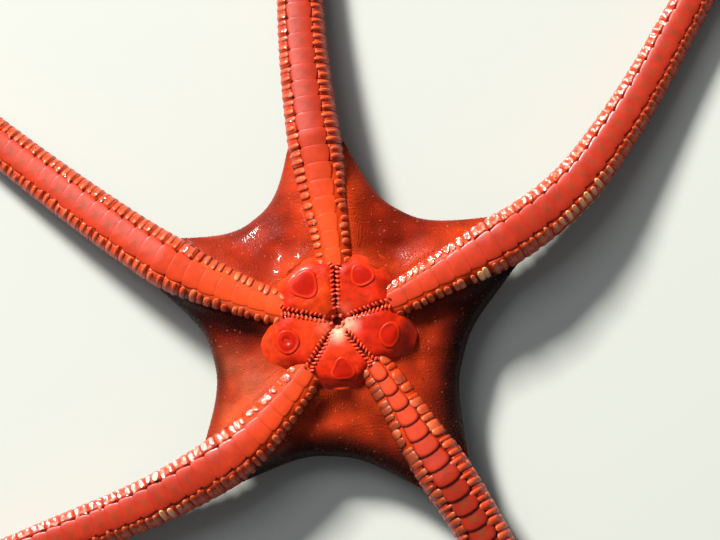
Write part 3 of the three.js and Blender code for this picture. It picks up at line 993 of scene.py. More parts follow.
            kept = chosen & (first | (turn < limit))
            reach = template.form.marks["reach"][None]
            at = turn[kept, None] - reach * (length / girth)[kept, None]
            # On a flank under a thick film the other teeth are painted paler as glints
            tone = np.where(first, self.first_tone, self.next_tone + self.painted_glint_tone * (1 - matt))[kept]
            tone = tone + (tone_spread + 0.1 * inner[kept]) * draw.normal(size=kept.sum())
            pale = np.clip(tone[:, None] * (0.25 + 0.75 * smooth_step(0.25, 0.95, reach)), 0, 1)
            cream = np.clip(1.6 * jut[kept, None] * (0.3 + 0.7 * reach), 0, 1)
            along = start + (rib.start + place_spread * (1 + 3 * inner) * draw.normal(size=n)) * pitch
            marks = {
                "pale": pale * (1 - cream),
                "spot": cream,
                # brown towards the back, and painted shade on the flank away from the light
                "earth": np.maximum(smooth_step(0.2, 0.29, at), painted_flank_shade),
                "matt": matt * smooth_step(0.04, 0.12, at),
            }
            origin, sizes = (along[kept], (side * turn)[kept]), (thick[kept], length[kept], height[kept])
            rise = ((self.sunk * height)[kept],) * 2
            shapes.append(arm.laid(template, origin, sizes, marks, rise, bridged=True))
        return Shape.joined(shapes)

    def _segments(self, from_length: float = 0.0) -> tuple[Array, Array, Array]:
        """Start, pitch and width of the segments that start past a length."""
        starts = self.arm.joints[self.arm.joints >= from_length]
        return starts, SIZES.pitch(starts), SIZES.girth_width(starts)


@dataclass(frozen=True)
class Patch:
    """Grid of a surface that granules are set on, with its places on a bake map."""

    points: Array
    places: Array
    step: float = 0.35  # grid steps to each side from which a slope is taken
    row_share: float = 0.87  # from one row of granules to the next, over their pitch

    def at(self, row: Array, column: Array) -> tuple[Array, Array]:
        """Between four grid points, by bilinear interpolation.

        Args:
            row: Row of each place, not whole.
            column: Column of each.

        Returns:
            Points and their places on the bake map.
        """
        r0 = np.clip(np.floor(row).astype(int), 0, self.points.shape[0] - 2)
        c0 = np.clip(np.floor(column).astype(int), 0, self.points.shape[1] - 2)
        down, aside = (row - r0)[..., None], (column - c0)[..., None]
        lines = [
            [mix(v[r, c0], v[r, c0 + 1], aside) for r in (r0, r0 + 1)] for v in (self.points, self.places)
        ]
        return tuple(mix(low, high, down) for low, high in lines)

    def frames(self, row: Array, column: Array) -> tuple[Array, Array, Array]:
        """Directions on the surface, by its slopes.

        Args:
            row: Row of each place.
            column: Column of each.

        Returns:
            Unit vectors down the rows, along the columns and out of the surface.
        """
        down = unit(self.at(row + self.step, column)[0] - self.at(row - self.step, column)[0])
        aside = unit(self.at(row, column + self.step)[0] - self.at(row, column - self.step)[0])
        out = unit(np.cross(aside, down))
        return down, unit(np.cross(down, out)), out

    def scattered(self, pitch: float, draw: Draw, jitter: float = 0.28) -> tuple[Array, Array]:
        """Rows of even places over the grid, shaken a little.

        Args:
            pitch: Distance between neighbours.
            draw: Source of the shaking.
            jitter: Largest shift, over the pitch.

        Returns:
            Row and column of each place.
        """
        lengths = np.linalg.norm(np.diff(self.points, axis=0), axis=2).mean(axis=1)
        down = np.concatenate([[0], np.cumsum(lengths)])
        rows = np.interp(np.arange(pitch / 2, down[-1], pitch * self.row_share), down, np.arange(len(down)))
        columns_at = np.arange(self.points.shape[1])
        all_rows, all_columns = [], []
        for k, row in enumerate(rows):
            line = self.at(np.full(len(columns_at), row), columns_at.astype(float))[0]
            along = np.concatenate([[0], np.cumsum(np.linalg.norm(np.diff(line, axis=0), axis=1))])
            count = max(int(along[-1] / pitch), 1)
            spots = (np.arange(count) + 0.25 + 0.5 * (k % 2)) / count * along[-1]
            spots = spots + pitch * jitter * draw.uniform(-1, 1, count)
            all_columns.append(np.interp(spots, along, columns_at))
            all_rows.append(np.full(count, row))
        row, column = np.concatenate(all_rows), np.concatenate(all_columns)
        step = pitch * self.row_share / max(down[-1], 1e-9) * (len(down) - 1)
        return row + step * jitter * draw.uniform(-1, 1, len(row)), column


@dataclass(frozen=True)
class Disc:
    """The disc: arm ridges with sunken skin between them, over a nearly flat back.

    The skin between two arms runs from one ridge's foot to the next. Its radius is the margin's share
    at the row, drawn out to the feet as |2v - 1| to a power, with v the share of the way across. What
    differs between the arms is given in fives, from the skin after arm 1.
    """

    margin_radii: Fives = (13.8 * MM, 13.3 * MM, 13.4 * MM, 12.9 * MM, 13.0 * MM)
    margin_power: float = 2.5
    inner_reach: float = 0.51
    rim_height: float = 2.95 * MM
    skin_height: float = 5.2 * MM
    top_rim: float = 4.2 * MM
    top_rim_power: float = 2 / 2.1
    back_rim: float = 4.3 * MM
    mouth_floor: float = 6.1 * MM
    mouth_rim: float = 7 * MM
    slit_floor: float = 6.45 * MM
    ridge_columns: int = 20
    sole_columns: int = 14
    skin_columns: int = 44
    sag: float = 0.1 * MM
    uneven: float = 0.14 * MM
    # How far the skin beside an arm, and beside the next, takes to sink, inside and at the rim
    flares: Pairs = ((2.2, 2.0), (1.2, 2.0), (1.6, 1.8), (2.0, 1.2), (2.0, 2.7))
    rim_flare: float = 1.9
    ridge_turn: float = 0.195  # where a ridge's slope to the skin starts
    slope_start: float = 12.5 * MM  # length along the arms from which it turns to the flank
    collar: float = 0.6 * MM  # how far the skin rises to the jaws
    collar_span: tuple[float, float] = (9.4 * MM, 6.8 * MM)
    painted_glow_span: tuple[float, float] = (9.8 * MM, 7.0 * MM)
    rim_brown_and_shade: Fives = (0.35, 0.75, 1.0, 1.0, 0.4)  # how brown the rim is between two arms: its own brown, with painted shade where it faces away from the light
    # Widths of the rim's brown and painted shade between two arms
    rim_brown_and_shade_widths: Fives = (1.6 * MM, 1.2 * MM, 2.6 * MM, 2.9 * MM, 1.0 * MM)
    painted_light_and_shade: Fives = (0.15, 0.1, -0.35, -0.15, 0.4)  # painted shade: how deep its red is, with painted light below 0, by how the skin lies to the light
    matt: Fives = (0.0, 0.4, 0.5, 0.5, 0.95)  # how thin its film of water is
    painted_sheens: Fives = (0.0, 0.2, 0.0, 0.0, 0.0)  # painted sheen: how pale its wet film makes it look
    painted_glows: Fives = (0.9, 0.8, 0.5, 0.5, 0.6)  # painted light: how bright it is beside the jaws
    # Painted light beside an arm and beside the next, painted shade below 0, and columns that it reaches
    slopes: Pairs = ((0.6, 0.3), (-1.4, 0.6), (-0.6, -0.3), (-0.2, -0.8), (0.6, 0.8))
    painted_light_reach: float = 9.0
    painted_shade_reach: float = 13.0

    @property
    def mean_radius(self) -> float:
        """Mean radius of the margin between the arms."""
        return float(np.mean(self.margin_radii))

    def reach_along(self, reach: Array) -> Array:
        """Length along the arms of the row at a share of the margin's radius."""
        return RIDGE_INNER + (DISC_EDGE - RIDGE_INNER) * (reach - self.inner_reach) / (1 - self.inner_reach)

    def top_rows(self) -> tuple[Array, Array]:
        """Rows of the mouth side: a quarter of a superellipse at the rim, then level skin.

        Returns:
            Share of the margin's radius and height of each, from the rim to the mouth.
        """
        angle = np.linspace(0, math.pi / 2, 26)
        rim = 1 - self.top_rim / self.mean_radius * (1 - np.cos(angle) ** self.top_rim_power)
        rise = mix(self.rim_height, self.skin_height, np.sin(angle) ** self.top_rim_power)
        inner = np.linspace(rim[-1], self.inner_reach, 30)[1:]
        return np.concatenate([rim, inner]), np.concatenate([rise, np.full(len(inner), self.skin_height)])

    def back_rows(self) -> tuple[Array, Array]:
        """The same of the rim under the disc, a quarter of an ellipse.

        Returns:
            Shares of the reach to the margin, and heights.
        """
        angle = np.linspace(0, math.pi / 2, 20)
        rim = 1 - self.back_rim / self.mean_radius * (1 - np.cos(angle))
        return rim, self.rim_height * (1 - np.sin(angle))

    def ring(self, ridges: Sequence[Array], reach: Array, level: Array, top: bool) -> Array:
        """Rows of points round the disc, each ridge and then the skin to its left.

        Args:
            ridges: Points of each arm's ridge, rows by columns, from its right foot to its left.
            reach: Share of the margin's radius of each row.
            level: Height of the skin of each row.
            top: Whether this is the side with the mouth, whose skin is uneven.

        Returns:
            The points, rows by columns.
        """
        reach, level = reach[:, None], level[:, None]
        share = (np.arange(1, self.skin_columns) / self.skin_columns)[None]
        inside = smooth_step(1.0, 0.9, reach)
        across = np.sin(math.pi * share) ** 2
        inward = np.sin(math.pi * np.clip((1 - reach) / (1 - self.inner_reach), 0, 1)) ** 1.5
        blocks = []
        for i, ridge in enumerate(ridges):
            feet = (ridge[:, -1], ridges[(i + 1) % len(ridges)][:, 0])
            angles = [np.arctan2(foot[:, 1], foot[:, 0])[:, None] for foot in feet]
            span = (angles[1] - angles[0] + 4 * math.pi) % (2 * math.pi)
            angle = angles[0] + span * share
            at_feet = mix(*(np.hypot(foot[:, 0], foot[:, 1])[:, None] for foot in feet), share)
            radius = mix(self.margin_radii[i] * reach, at_feet, np.abs(2 * share - 1) ** self.margin_power)
            x, y = radius * np.cos(angle), radius * np.sin(angle)
            height = level
            for foot, away, flare in zip(feet, (share, 1 - share), self.flares[i]):
                near = bell(away * span * at_feet, 0.0, mix(self.rim_flare, flare, inside) * MM)
                height = height + (foot[:, 2:] - level) * near
            if top:
                height = height - self.sag * across * inward + self.uneven * across * inward * ripples(x, y)
                height = height + self.collar * across * smooth_step(*self.collar_span, radius)
            blocks.append(np.concatenate([ridge, np.stack([x, y, height], axis=2)], axis=1))
        return np.concatenate(blocks, axis=1)

    def sheets(self, arms: Sequence[Arm]) -> tuple[Array, Array]:
        """Points of the mouth side and of the back, both from the rim inwards.

        Args:
            arms: The arms.

        Returns:
            Two grids of points that share their first row's skin.
        """
        flank = SECTION.flank_turn
        reach, level = self.top_rows()
        along = self.reach_along(reach)[:, None]
        slope_turn = mix(self.ridge_turn, flank, smooth_step(self.slope_start, DISC_EDGE, along))
        turns = np.linspace(-1, 1, self.ridge_columns + 1)[None] * slope_turn
        top = self.ring([arm.skin(along, turns) for arm in arms], reach, level, True)
        reach, level = self.back_rows()
        along = self.reach_along(reach)[:, None]
        turns = np.linspace(-flank, flank - 1, self.sole_columns + 1)[None]
        share = smooth_step(SIZES.rise_start, DISC_EDGE, along)
        soles = [arm.skin(along, turns) for arm in arms]
        for arm, flat in zip(arms, soles):
            edge = arm.skin(np.full_like(along, DISC_EDGE), turns)[..., 2]
            middle = mix(level[:, None], edge.max(), share)
            flat[..., 2] = middle + np.minimum(SECTION.at(turns)[1], 0) * (middle - edge.min() * share)
        return top, self.ring(soles, reach, level, False)

    def mouth_rows(self, rim: Array) -> Array:
        """Rows that drop from the ridges' inner ends to the floor of the mouth and close to its middle.

        Args:
            rim: Last row of the mouth side.

        Returns:
            The rows, outermost first.
        """
        share = np.array([0.96, 0.93, 0.9, 0.78, 0.6, 0.45, 0.38, 0.3, 0.22, 0.15, 0.08])[:, None]
        floor = mix(self.slit_floor, self.mouth_floor, smooth_step(0.45, 0.15, share))
        height = mix(np.minimum(rim[None, :, 2], self.mouth_rim), floor, np.clip((1 - share) / 0.08, 0, 1))
        return np.concatenate([rim[None, :, :2] * share[..., None], height[..., None]], axis=2)


@dataclass(frozen=True)
class SkinMap:
    """Bake map of the skin: five strips for the arms and two round maps for the disc."""

    strip: float = 0.128
    strip_gap: float = 0.006
    middles: Pairs = ((0.17, 0.835), (0.51, 0.835))
    disc_scale: float = 0.155 / (18.5 * MM)

    def arm(self, number: int, along: Array, share: Array) -> Array:
        """Place of a point of an arm: along its strip, and across by the share of the way round.

        Args:
            number: Number of the arm.
            along: Length along it.
            share: Share of the way round it.

        Returns:
            The places on the map.
        """
        u = 0.01 + 0.98 * (along - DISC_EDGE) / (ARM_LENGTH - DISC_EDGE)
        v = self.strip_gap + (number - 1) * (self.strip + self.strip_gap) + self.strip * share
        return np.stack(np.broadcast_arrays(u, v), axis=-1)

    def sheet(self, points: Array, middle: tuple[float, float]) -> Array:
        """Places of a side of the disc: its own direction, and its length from the middle as radius.

        Args:
            points: Grid of points, from the rim inwards.
            middle: Middle of the round map.

        Returns:
            Their places.
        """
        inward = points[::-1]
        first = np.hypot(inward[:1, :, 0], inward[:1, :, 1])
        steps = np.linalg.norm(np.diff(inward, axis=0), axis=2)
        length = np.concatenate([first, first + np.cumsum(steps, axis=0)])[::-1]
        angle = np.arctan2(points[..., 1], points[..., 0])
        flat = np.stack([np.cos(angle), np.sin(angle)], axis=-1) * length[..., None] * self.disc_scale
        return np.array(middle) + flat


@dataclass(frozen=True)
class Skin:
    """One closed skin over the disc and the five arms.

    The two sides of the disc share the rim between the arms, and each arm's first ring is the
    ridge's end above and the sole's end below.
    """

    arms: Sequence[Arm]
    disc: Disc = Disc()
    layout: SkinMap = SkinMap()
    tube_step: float = 0.55 * MM
    tip_cap: float = 0.4 * MM

    @cached_property
    def sheets(self) -> tuple[Array, Array]:
        """Points of the mouth side, down to the mouth's floor, and of the back."""
        outer, back = self.disc.sheets(self.arms)
        return np.concatenate([outer, self.disc.mouth_rows(outer[-1])]), back

    @cached_property
    def places(self) -> tuple[Array, Array]:
        """Their places on the bake map."""
        return tuple(self.layout.sheet(*side) for side in zip(self.sheets, self.layout.middles))

    def shape(self) -> Shape:
        """The whole skin as one closed shape."""
        sides = [self._side(0, self.top_marks), self._side(1, self._back_marks()).flipped()]
        return Shape.joined(sides + [self._tube(arm) for arm in self.arms]).welded()

    def _side(self, side: int, marks: Marks) -> Shape:
        """One side of the disc, closed in the middle.

        Args:
            side: 0 with the mouth, 1 behind.
            marks: Its marks.

        Returns:
            The shape, open at the rim.
        """
        points = self.sheets[side]
        shape = grid(points, self.places[side], marks, closed=True)
        # The mouth's middle is painted deep red as shade
        return shape.capped(points.shape[1], (0, 0, points[-1, :, 2].mean()), False, {"deep": 1 - side})

    def _tube(self, arm: Arm) -> Shape:
        """Skin of one arm from the disc's own points, where it leaves the disc, to its tip.

        Args:
            arm: The arm.

        Returns:
            The skin, open where it leaves the disc.
        """
        disc, flank = self.disc, SECTION.flank_turn
        over = np.linspace(-flank, flank, disc.ridge_columns + 1)
        under = np.linspace(flank, 1 - flank, disc.sole_columns + 1)[1:]
        turns = np.concatenate([over, under])
        end = ARM_LENGTH - self.tip_cap
        along = np.linspace(DISC_EDGE, end, int(round((end - DISC_EDGE) / self.tube_step)))[:, None]
        points = arm.skin(along, turns[None, :-1])
        feet = []
        for sheet, ridge in zip(self.sheets, (disc.ridge_columns, disc.sole_columns)):
            start = (arm.number - 1) * (ridge + disc.skin_columns)
            feet.append(sheet[0, start : start + ridge + 1])
        points[0] = np.concatenate([feet[0], feet[1][-2:0:-1]])
        level = np.abs((turns[:-1] + 0.5) % 1.0 - 0.5)[None]
        marks = {"bright": 1 - smooth_step(0.18, 0.3, level), "earth": smooth_step(0.22, 0.4, level)}
        shape = grid(points, self.layout.arm(arm.number, along, turns[None] + flank), marks, closed=True)
        tip = arm.beside(ARM_LENGTH, 0.0, SIZES.flank(np.array(ARM_LENGTH)))
        return shape.capped(len(turns) - 1, tip, False, {"earth": 0.5})

    def _blocks(self, values: Sequence) -> Array:
        """A row that repeats one value after each arm over the columns of its ridge and skin."""
        return np.repeat(values, self.disc.ridge_columns + self.disc.skin_columns, axis=0).T[None]

    @cached_property
    def top_marks(self) -> Marks:
        """Marks of the mouth side: brown and painted shade at the rim, painted shade in the mouth,
        slow unevenness in the deep red, and painted light, shade and sheen over the skin.

        Returns:
            The marks, by name.
        """
        disc, (x, y, _) = self.disc, np.moveaxis(self.sheets[0], -1, 0)
        radius, rows = np.hypot(x, y), np.arange(len(x))
        reach, _ = disc.top_rows()
        outer = 1 - smooth_step(len(reach) + 1.0, len(reach) + 3.5, rows)[:, None]
        inside = 1 - np.interp(rows, np.arange(len(reach)), reach, right=0.0)
        brown_and_shaded_rims = [
            tone * smooth_step(1.3 * width, 0.3 * width, inside * margin)
            for tone, width, margin in zip(disc.rim_brown_and_shade, disc.rim_brown_and_shade_widths, disc.margin_radii)
        ]
        # The rim's brown is partly painted shade, the sector depths are painted shade and light, and the
        # glow beside the jaws is painted light
        rim, depth, slope = self._blocks(brown_and_shaded_rims)[0], self._blocks(disc.painted_light_and_shade), self._painted_slope_light()
        uneven = 0.5 + 0.5 * ripples(x, y)
        # Painted light and painted shade of the slopes beside the ridges
        light, dark = np.clip(slope, 0, 1), np.clip(-slope, 0, 1)
        painted_glow = self._blocks(disc.painted_glows) * smooth_step(*disc.painted_glow_span, radius) * (1 - 0.6 * dark)
        deep = np.clip(0.25 * uneven + depth + dark, 0, 1) * (1 - light) * (1 - 0.5 * painted_glow)
        bright = np.maximum(np.maximum((1 - rim) * (0.3 * (1 - uneven) - depth), light), painted_glow)
        painted_sheen = self._blocks(disc.painted_sheens) * np.clip(1 - 3 * dark, 0, 1) * (0.4 + 0.6 * uneven)
        # Painted shade: deep red down in the mouth, and brown on the dark slopes
        return {
            "deep": np.maximum(1 - outer, deep),
            "earth": rim * outer * (1 - 0.7 * light) + 0.65 * dark * (1 - rim),
            "matt": self._blocks(disc.matt),
            "pale": painted_sheen * (1 - rim) * outer,
            "bright": bright * outer,
        }

    def _painted_slope_light(self) -> Array:
        """Painted light and shade of each column: 1 on a ridge, and fading from its feet as a bell curve.

        Returns:
            One value for each column.
        """
        disc, tones = self.disc, []
        feet = (0, 5, disc.ridge_columns - 5, disc.ridge_columns)
        column = np.arange(1, disc.skin_columns)
        for i, ends in enumerate(disc.slopes):
            ridge = (disc.slopes[i - 1][1], 1, 1, ends[0])
            tones.append(np.interp(np.arange(disc.ridge_columns + 1), feet, ridge))
            reaches = [disc.painted_light_reach if end > 0 else disc.painted_shade_reach for end in ends]
            away = (column, disc.skin_columns - column)
            tones.append(sum(end * bell(at, 0.0, reach) for end, at, reach in zip(ends, away, reaches)))
        return np.concatenate(tones)[None]

    def _back_marks(self) -> Marks:
        """Marks of the back: brown with slow unevenness."""
        uneven = 0.5 + 0.5 * ripples(self.sheets[1][..., 0], self.sheets[1][..., 1])
        return {"earth": 0.6 + 0.4 * uneven, "deep": 0.25 * uneven}

    def _skin_columns(self, index: int) -> Array:
        """Columns of the mouth side from an arm's left foot to the next arm's right foot."""
        start = index * (self.disc.ridge_columns + self.disc.skin_columns) + self.disc.ridge_columns
        return np.arange(start, start + self.disc.skin_columns + 1) % self.sheets[0].shape[1]

    def skin_patch(self, index: int) -> Patch:
        """Skin between an arm and the next, on the mouth side, without the ridges."""
        rows, columns = len(self.disc.top_rows()[0]), self._skin_columns(index)
        return Patch(self.sheets[0][:rows][:, columns], self.places[0][:rows][:, columns])

    def marks_at(self, index: int, row: Array, column: Array) -> Marks:
        """Marks of the mouth side at the nearest grid points of a patch."""
        at = (np.rint(row).astype(int), self._skin_columns(index)[np.rint(column).astype(int)])
        return {name: np.broadcast_to(v, self.sheets[0].shape[:2])[at] for name, v in self.top_marks.items()}

    def back_patch(self) -> Patch:
        """The whole back of the disc."""
        columns = np.arange(self.sheets[1].shape[1] + 1)[::-1] % self.sheets[1].shape[1]
        return Patch(self.sheets[1][:, columns], self.places[1][:, columns])


@dataclass(frozen=True)
class JawLook:
    """How one jaw differs from the others."""

    radius: float  # from the mouth's middle to the shield's
    length: float  # half the shield's length, outwards
    width: float  # half its width
    aside: float = 0.0  # how far the shield stands to the left of the jaw's axis
    corner: float = 0.08  # how pointed the shield is
    cream: float = 0.3  # how pale the jaw's tip is
    pore: bool = False  # whether the shield has the small pit of the water pore
    merge: float = 0.5  # painted shade: how deep the red of the jaw's outer end is
    bright: float = 0.3  # painted light: how bright its inner half is


# Jaw by jaw, the outer end's painted shade and the inner half's painted light follow the light that each jaw
# gets
JAW_LOOKS = (
    JawLook(4.85 * MM, 1.4 * MM, 1.42 * MM, 0.1 * MM, 0.1, 0.0, merge=0.0, bright=1.0),
    JawLook(5.35 * MM, 1.15 * MM, 1.2 * MM, -0.1 * MM, 0.03, 0.25, pore=True, merge=0.1, bright=0.8),
    JawLook(4.95 * MM, 1.1 * MM, 1.15 * MM, 0.2 * MM, 0.16, 1.0, merge=0.6, bright=0.5),
    JawLook(5.5 * MM, 0.98 * MM, 1.3 * MM, 0.0, 0.04, 0.9, bright=0.0),
    JawLook(5.2 * MM, 1.15 * MM, 1.2 * MM, 0.45 * MM, 0.08, 0.12, merge=0.2),
)


@dataclass(frozen=True)
class Jaw:
    """One of the five jaws: a lobe between two slits, with its shield, papillae and teeth.

    Across the jaw the section is a superellipse, with its half width the wedge between the slits and
    its height a ridge that dips to the mouth. Both fall to nothing at the two ends.
    """

    axis: float  # heading
    wedge: float  # half the angle between its slits
    look: JawLook
    slit: float = 0.07 * MM
    tip: float = 0.42 * MM
    tip_rounding: float = 0.6 * MM
    shoulder: float = 4.5 * MM
    beyond_shield: float = 1.9 * MM
    least_outer: float = 6.6 * MM
    base: float = 4.7 * MM
    under: float = 0.6 * MM
    crown: float = 7.25 * MM
    dip: float = 0.7 * MM
    dip_radius: float = 3.2 * MM
    fall: float = 2.6 * MM
    foot: float = 5.7 * MM
    foot_round: float = 0.35 * MM
    roundness: float = 7.0
    outer_roundness: float = 2.4
    round_span: tuple[float, float] = (3.6 * MM, 6.0 * MM)
    seat: float = 0.1 * MM  # how deep the shield's seat is sunk, and the ring around it
    seat_ring: float = 0.02 * MM
    lump: float = 0.05 * MM
    rows: int = 90
    columns: int = 72
    shield_above: float = 0.03 * MM
    shield_sides: int = 48
    pore_depth: float = 0.35 * MM
    pore_radius: float = 0.24 * MM

    @property
    def outer(self) -> float:
        """Distance of the jaw's outer end from the mouth."""
        return max(self.look.radius + self.look.length + self.beyond_shield, self.least_outer)

    def half_width(self, radius: Array) -> Array:
        """Half the jaw's width: radius times tan(wedge) less the slit, rounded at both ends.

        Args:
            radius: Distance from the mouth's middle.

        Returns:
            The half width there.
        """
        tangent, gap = math.tan(self.wedge), self.slit / math.cos(self.wedge)
        inner = np.clip((radius - self.tip) / self.tip_rounding, 0, 1)
        outer = np.clip((radius - self.shoulder) / (self.outer - self.shoulder), 0, 1)
        closed = (self.shoulder * tangent - gap) * np.sqrt(1 - outer**2.4)
        full = np.where(radius > self.shoulder, closed, np.maximum(radius * tangent - gap, 0.05 * MM))
        blunt = 0.3 * MM * smooth_step(self.tip + 1.2 * MM, self.tip, radius)
        return (full + blunt) * np.sqrt(1 - (1 - inner) ** 2)

    def top(self, radius: Array) -> Array:
        """Height of the jaw's crown, which dips to the mouth and slopes down to the skin outside.

        Args:
            radius: Distance from the mouth's middle.

        Returns:
            The height there.
        """
        dipped = self.crown - self.dip * np.clip(1 - radius / self.dip_radius, 0, 1) ** 1.5
        inner = np.clip((radius - self.tip) / (1.4 * self.tip_rounding), 0, 1)
        left = self.outer - radius
        sloped = mix(self.foot, dipped, smooth_step(0.0, self.fall, left))
        ends = np.sqrt(1 - (1 - inner) ** 2) * smooth_step(0.0, self.foot_round, left)
        return self.base + (sloped - self.base) * ends

    def power(self, radius: Array) -> Array:
        """Power of the superellipse that the jaw's section is."""
        return mix(self.roundness, self.outer_roundness, smooth_step(*self.round_span, radius))

    def level(self, radius: Array, across: Array) -> Array:
        """Height of the jaw's top beside its axis, by the superellipse |a/w|^n + |z/h|^n = 1.

        Args:
            radius: Distances from the mouth's middle.
            across: Distances from the axis.

        Returns:
            The heights.
        """
        share = np.clip(np.abs(across) / self.half_width(radius), 0, 1)
        rise = (1 - share ** self.power(radius)) ** (1 / self.power(radius))
        return self.base + (self.top(radius) - self.base) * rise

    def body(self) -> Shape:
        """Surface of the jaw, with a seat sunk for its shield and low lumps around it.

        Returns:
            The closed shape.
        """
        look, outer = self.look, self.outer
        ends = 1 - np.cos(np.linspace(0, math.pi, self.rows))
        radius = (self.tip + (outer - self.tip) * ends / 2)[1:-1, None]
        angle, power = around(self.columns)[None], 2 / self.power(radius)
        side, up = (signed_power(ratio, power) for ratio in (np.cos(angle), np.sin(angle)))
        across = self.half_width(radius) * side
        height = self.base + np.where(up > 0, self.top(radius) - self.base, self.under) * up
        seat = np.hypot((radius - look.radius) / look.length, (across - look.aside) / look.width)
        sunk = self.seat * smooth_step(1.12, 0.95, seat) + self.seat_ring * bell(seat, 1.14, 0.09)
        lumps = ripples(radius * 1.7 + 3 * self.axis * MM, across * 1.7) * smooth_step(1.0, 1.6, seat)
        lumps = (self.lump * lumps - sunk) * smooth_step(0.2, 0.6, up)
        points = turned(self.axis, radius, across, height + lumps)
        far = np.hypot(points[..., 0], points[..., 1])
        # Painted shade low down by the slits and mouth and on the outer end; painted light on the inner half
        # and beyond the shade
        inside = smooth_step(6.6 * MM, 5.2 * MM, points[..., 2]) * (far < 5.5 * MM)
        painted_outer_light = smooth_step(5.6 * MM, 7.0 * MM, far) * (0.8 - look.merge)
        marks = {
            "pale": look.cream * smooth_step(2.8 * MM, 1.4 * MM, far) * bell(across, 0.0, 0.75 * MM),
            "deep": np.maximum(inside, look.merge * smooth_step(5.9 * MM, 7.4 * MM, far)),
            "bright": np.maximum(smooth_step(6.0 * MM, 3.0 * MM, far) * look.bright, painted_outer_light),
        }
        v, u = (np.linspace(0.02, 0.98, count) for count in (len(points), self.columns + 1))
        shape = grid(points, np.stack(np.meshgrid(u, v), axis=2), marks, closed=True)
        for first, end, mark in ((True, self.tip, {"pale": look.cream}), (False, outer, {"deep": 0.5})):
            shape = shape.capped(self.columns, turned(self.axis, end, 0.0, self.base), first, mark)
        return shape.facing_out()

    def shield(self) -> Shape:
        """Rounded triangular plate with a low pale rim: rings drawn in towards three corners.

        Returns:
            The closed shape.
        """
        look = self.look
        sizes = np.array([0.04, 0.3, 0.52, 0.68, 0.77, 0.84, 0.91, 0.97, 1.02, 1.06, 1.08])[:, None]
        rises = np.array([-0.01, -0.01, -0.02, -0.03, -0.03, -0.01, 0.01, 0.0, -0.03, -0.09, -0.8])[:, None]
        angle = around(self.shield_sides)[None]
        bulge = sizes * (1 - look.corner * np.cos(3 * angle) * smooth_step(0.1, 0.9, sizes))
        along, across = bulge * look.length * np.cos(angle), bulge * look.width * np.sin(angle)
        ahead, aside = look.radius + along, look.aside + across
        pit = bell(np.hypot(along - 0.05 * MM, across + 0.15 * MM), 0.0, self.pore_radius) * look.pore
        height = self.level(ahead, aside) + self.shield_above + rises * MM - self.pore_depth * pit
        deep = np.maximum(0.8 * smooth_step(0.6, 0.85, 1.5 - sizes), pit)
        places = np.stack([along, across], axis=2) / (3.4 * MM) + 0.5
        points = turned(self.axis, ahead, aside, height)
        shape = grid(points, places, {"pale": 0.35 * bell(sizes, 0.93, 0.07), "deep": deep}, closed=True)
        x, y = points[0, :, :2].mean(axis=0)
        shape = shape.capped(self.shield_sides, (x, y, height[0].mean()), True, {"deep": deep[0].mean()})
        return shape.capped(self.shield_sides, (x, y, height[-1].min()), False, {}).facing_out()

    def papillae(self, draw: Draw) -> Shape:
        """Blunt papillae in a row along both slits, and four teeth at the jaw's tip.

        Args:
            draw: Source of the small differences.

        Returns:
            The papillae and teeth as one shape.
        """
        template = Template.tooth(((0.0, 0.8), (0.2, 1.0), (0.55, 0.97), (0.82, 0.78), (0.96, 0.42)), 8)
        row = np.arange(1.2, 4.9, 0.36) * MM
        side, count = np.repeat([-1.0, 1.0], len(row)), 2 * len(row)
        radius = np.tile(row, 2) + 0.02 * MM * draw.normal(size=count)
        lean = 0.46 * MM * side * (1 + 0.08 * draw.normal(size=count))
        inward = -0.06 * MM * (1 + 0.3 * draw.normal(size=count))
        across, height = side * (self.half_width(radius) - 0.46 * MM), self.top(radius) - 0.05 * MM
        x, z = np.array([(-0.22, 0.22, 0.0, 0.0), (0.0, 0.0, 0.3, -0.35)]) * MM
        tables = (
            (radius, across, height, inward, lean, -0.12 * MM, 0.26 * MM),
            (self.tip + 0.42 * MM, x, 6.05 * MM + z, -0.42 * MM, 0.2 * x, 0.1 * MM, 0.42 * MM),
        )
        rows = np.concatenate([np.stack(np.broadcast_arrays(*table)) for table in tables], axis=1)
        radius, across, height, inward, lean, rise, width = rows
        lengthwise = turned(self.axis, inward, lean, rise)
        sideways = unit(np.cross(lengthwise, (0.0, 0.0, 1.0)))
        upward = unit(np.cross(sideways, lengthwise))
        axes = (width[:, None] * sideways, lengthwise, width[:, None] * upward)
        cream = 0.5 * self.look.cream * smooth_step(2.2 * MM, 1.2 * MM, radius)
        tone = np.clip(np.maximum(0.12 + 0.05 * draw.normal(size=len(radius)), cream), 0, 1)
        pale = tone[:, None] * (0.6 + 0.4 * template.form.marks["reach"][None])
        place = np.stack([0.5 + across / (9 * MM), radius / (8 * MM)], axis=1)
        root = turned(self.axis, radius, across, height)
        return template.set_out(root, axes, place, 0.004, {"pale": pale, "bright": 1 - pale})


def make_jaws(arms: Sequence[Arm], slit_radius: float = 4.2 * MM) -> list[Jaw]:
    """The jaws, each midway between the slits that follow two arms.

    Args:
        arms: The arms.
        slit_radius: Length along the arms at which the slits' headings are taken.

    Returns:
        The jaws in order, from the one after arm 1.
    """
    points = [arm.beside(slit_radius, 0.0, 0.0) for arm in arms]
    slits = np.unwrap([math.atan2(point[1], point[0]) for point in points])
    after = np.append(slits[1:], slits[0] + 2 * math.pi)
    return [Jaw(*slit) for slit in zip((slits + after) / 2, (after - slits) / 2, JAW_LOOKS)]


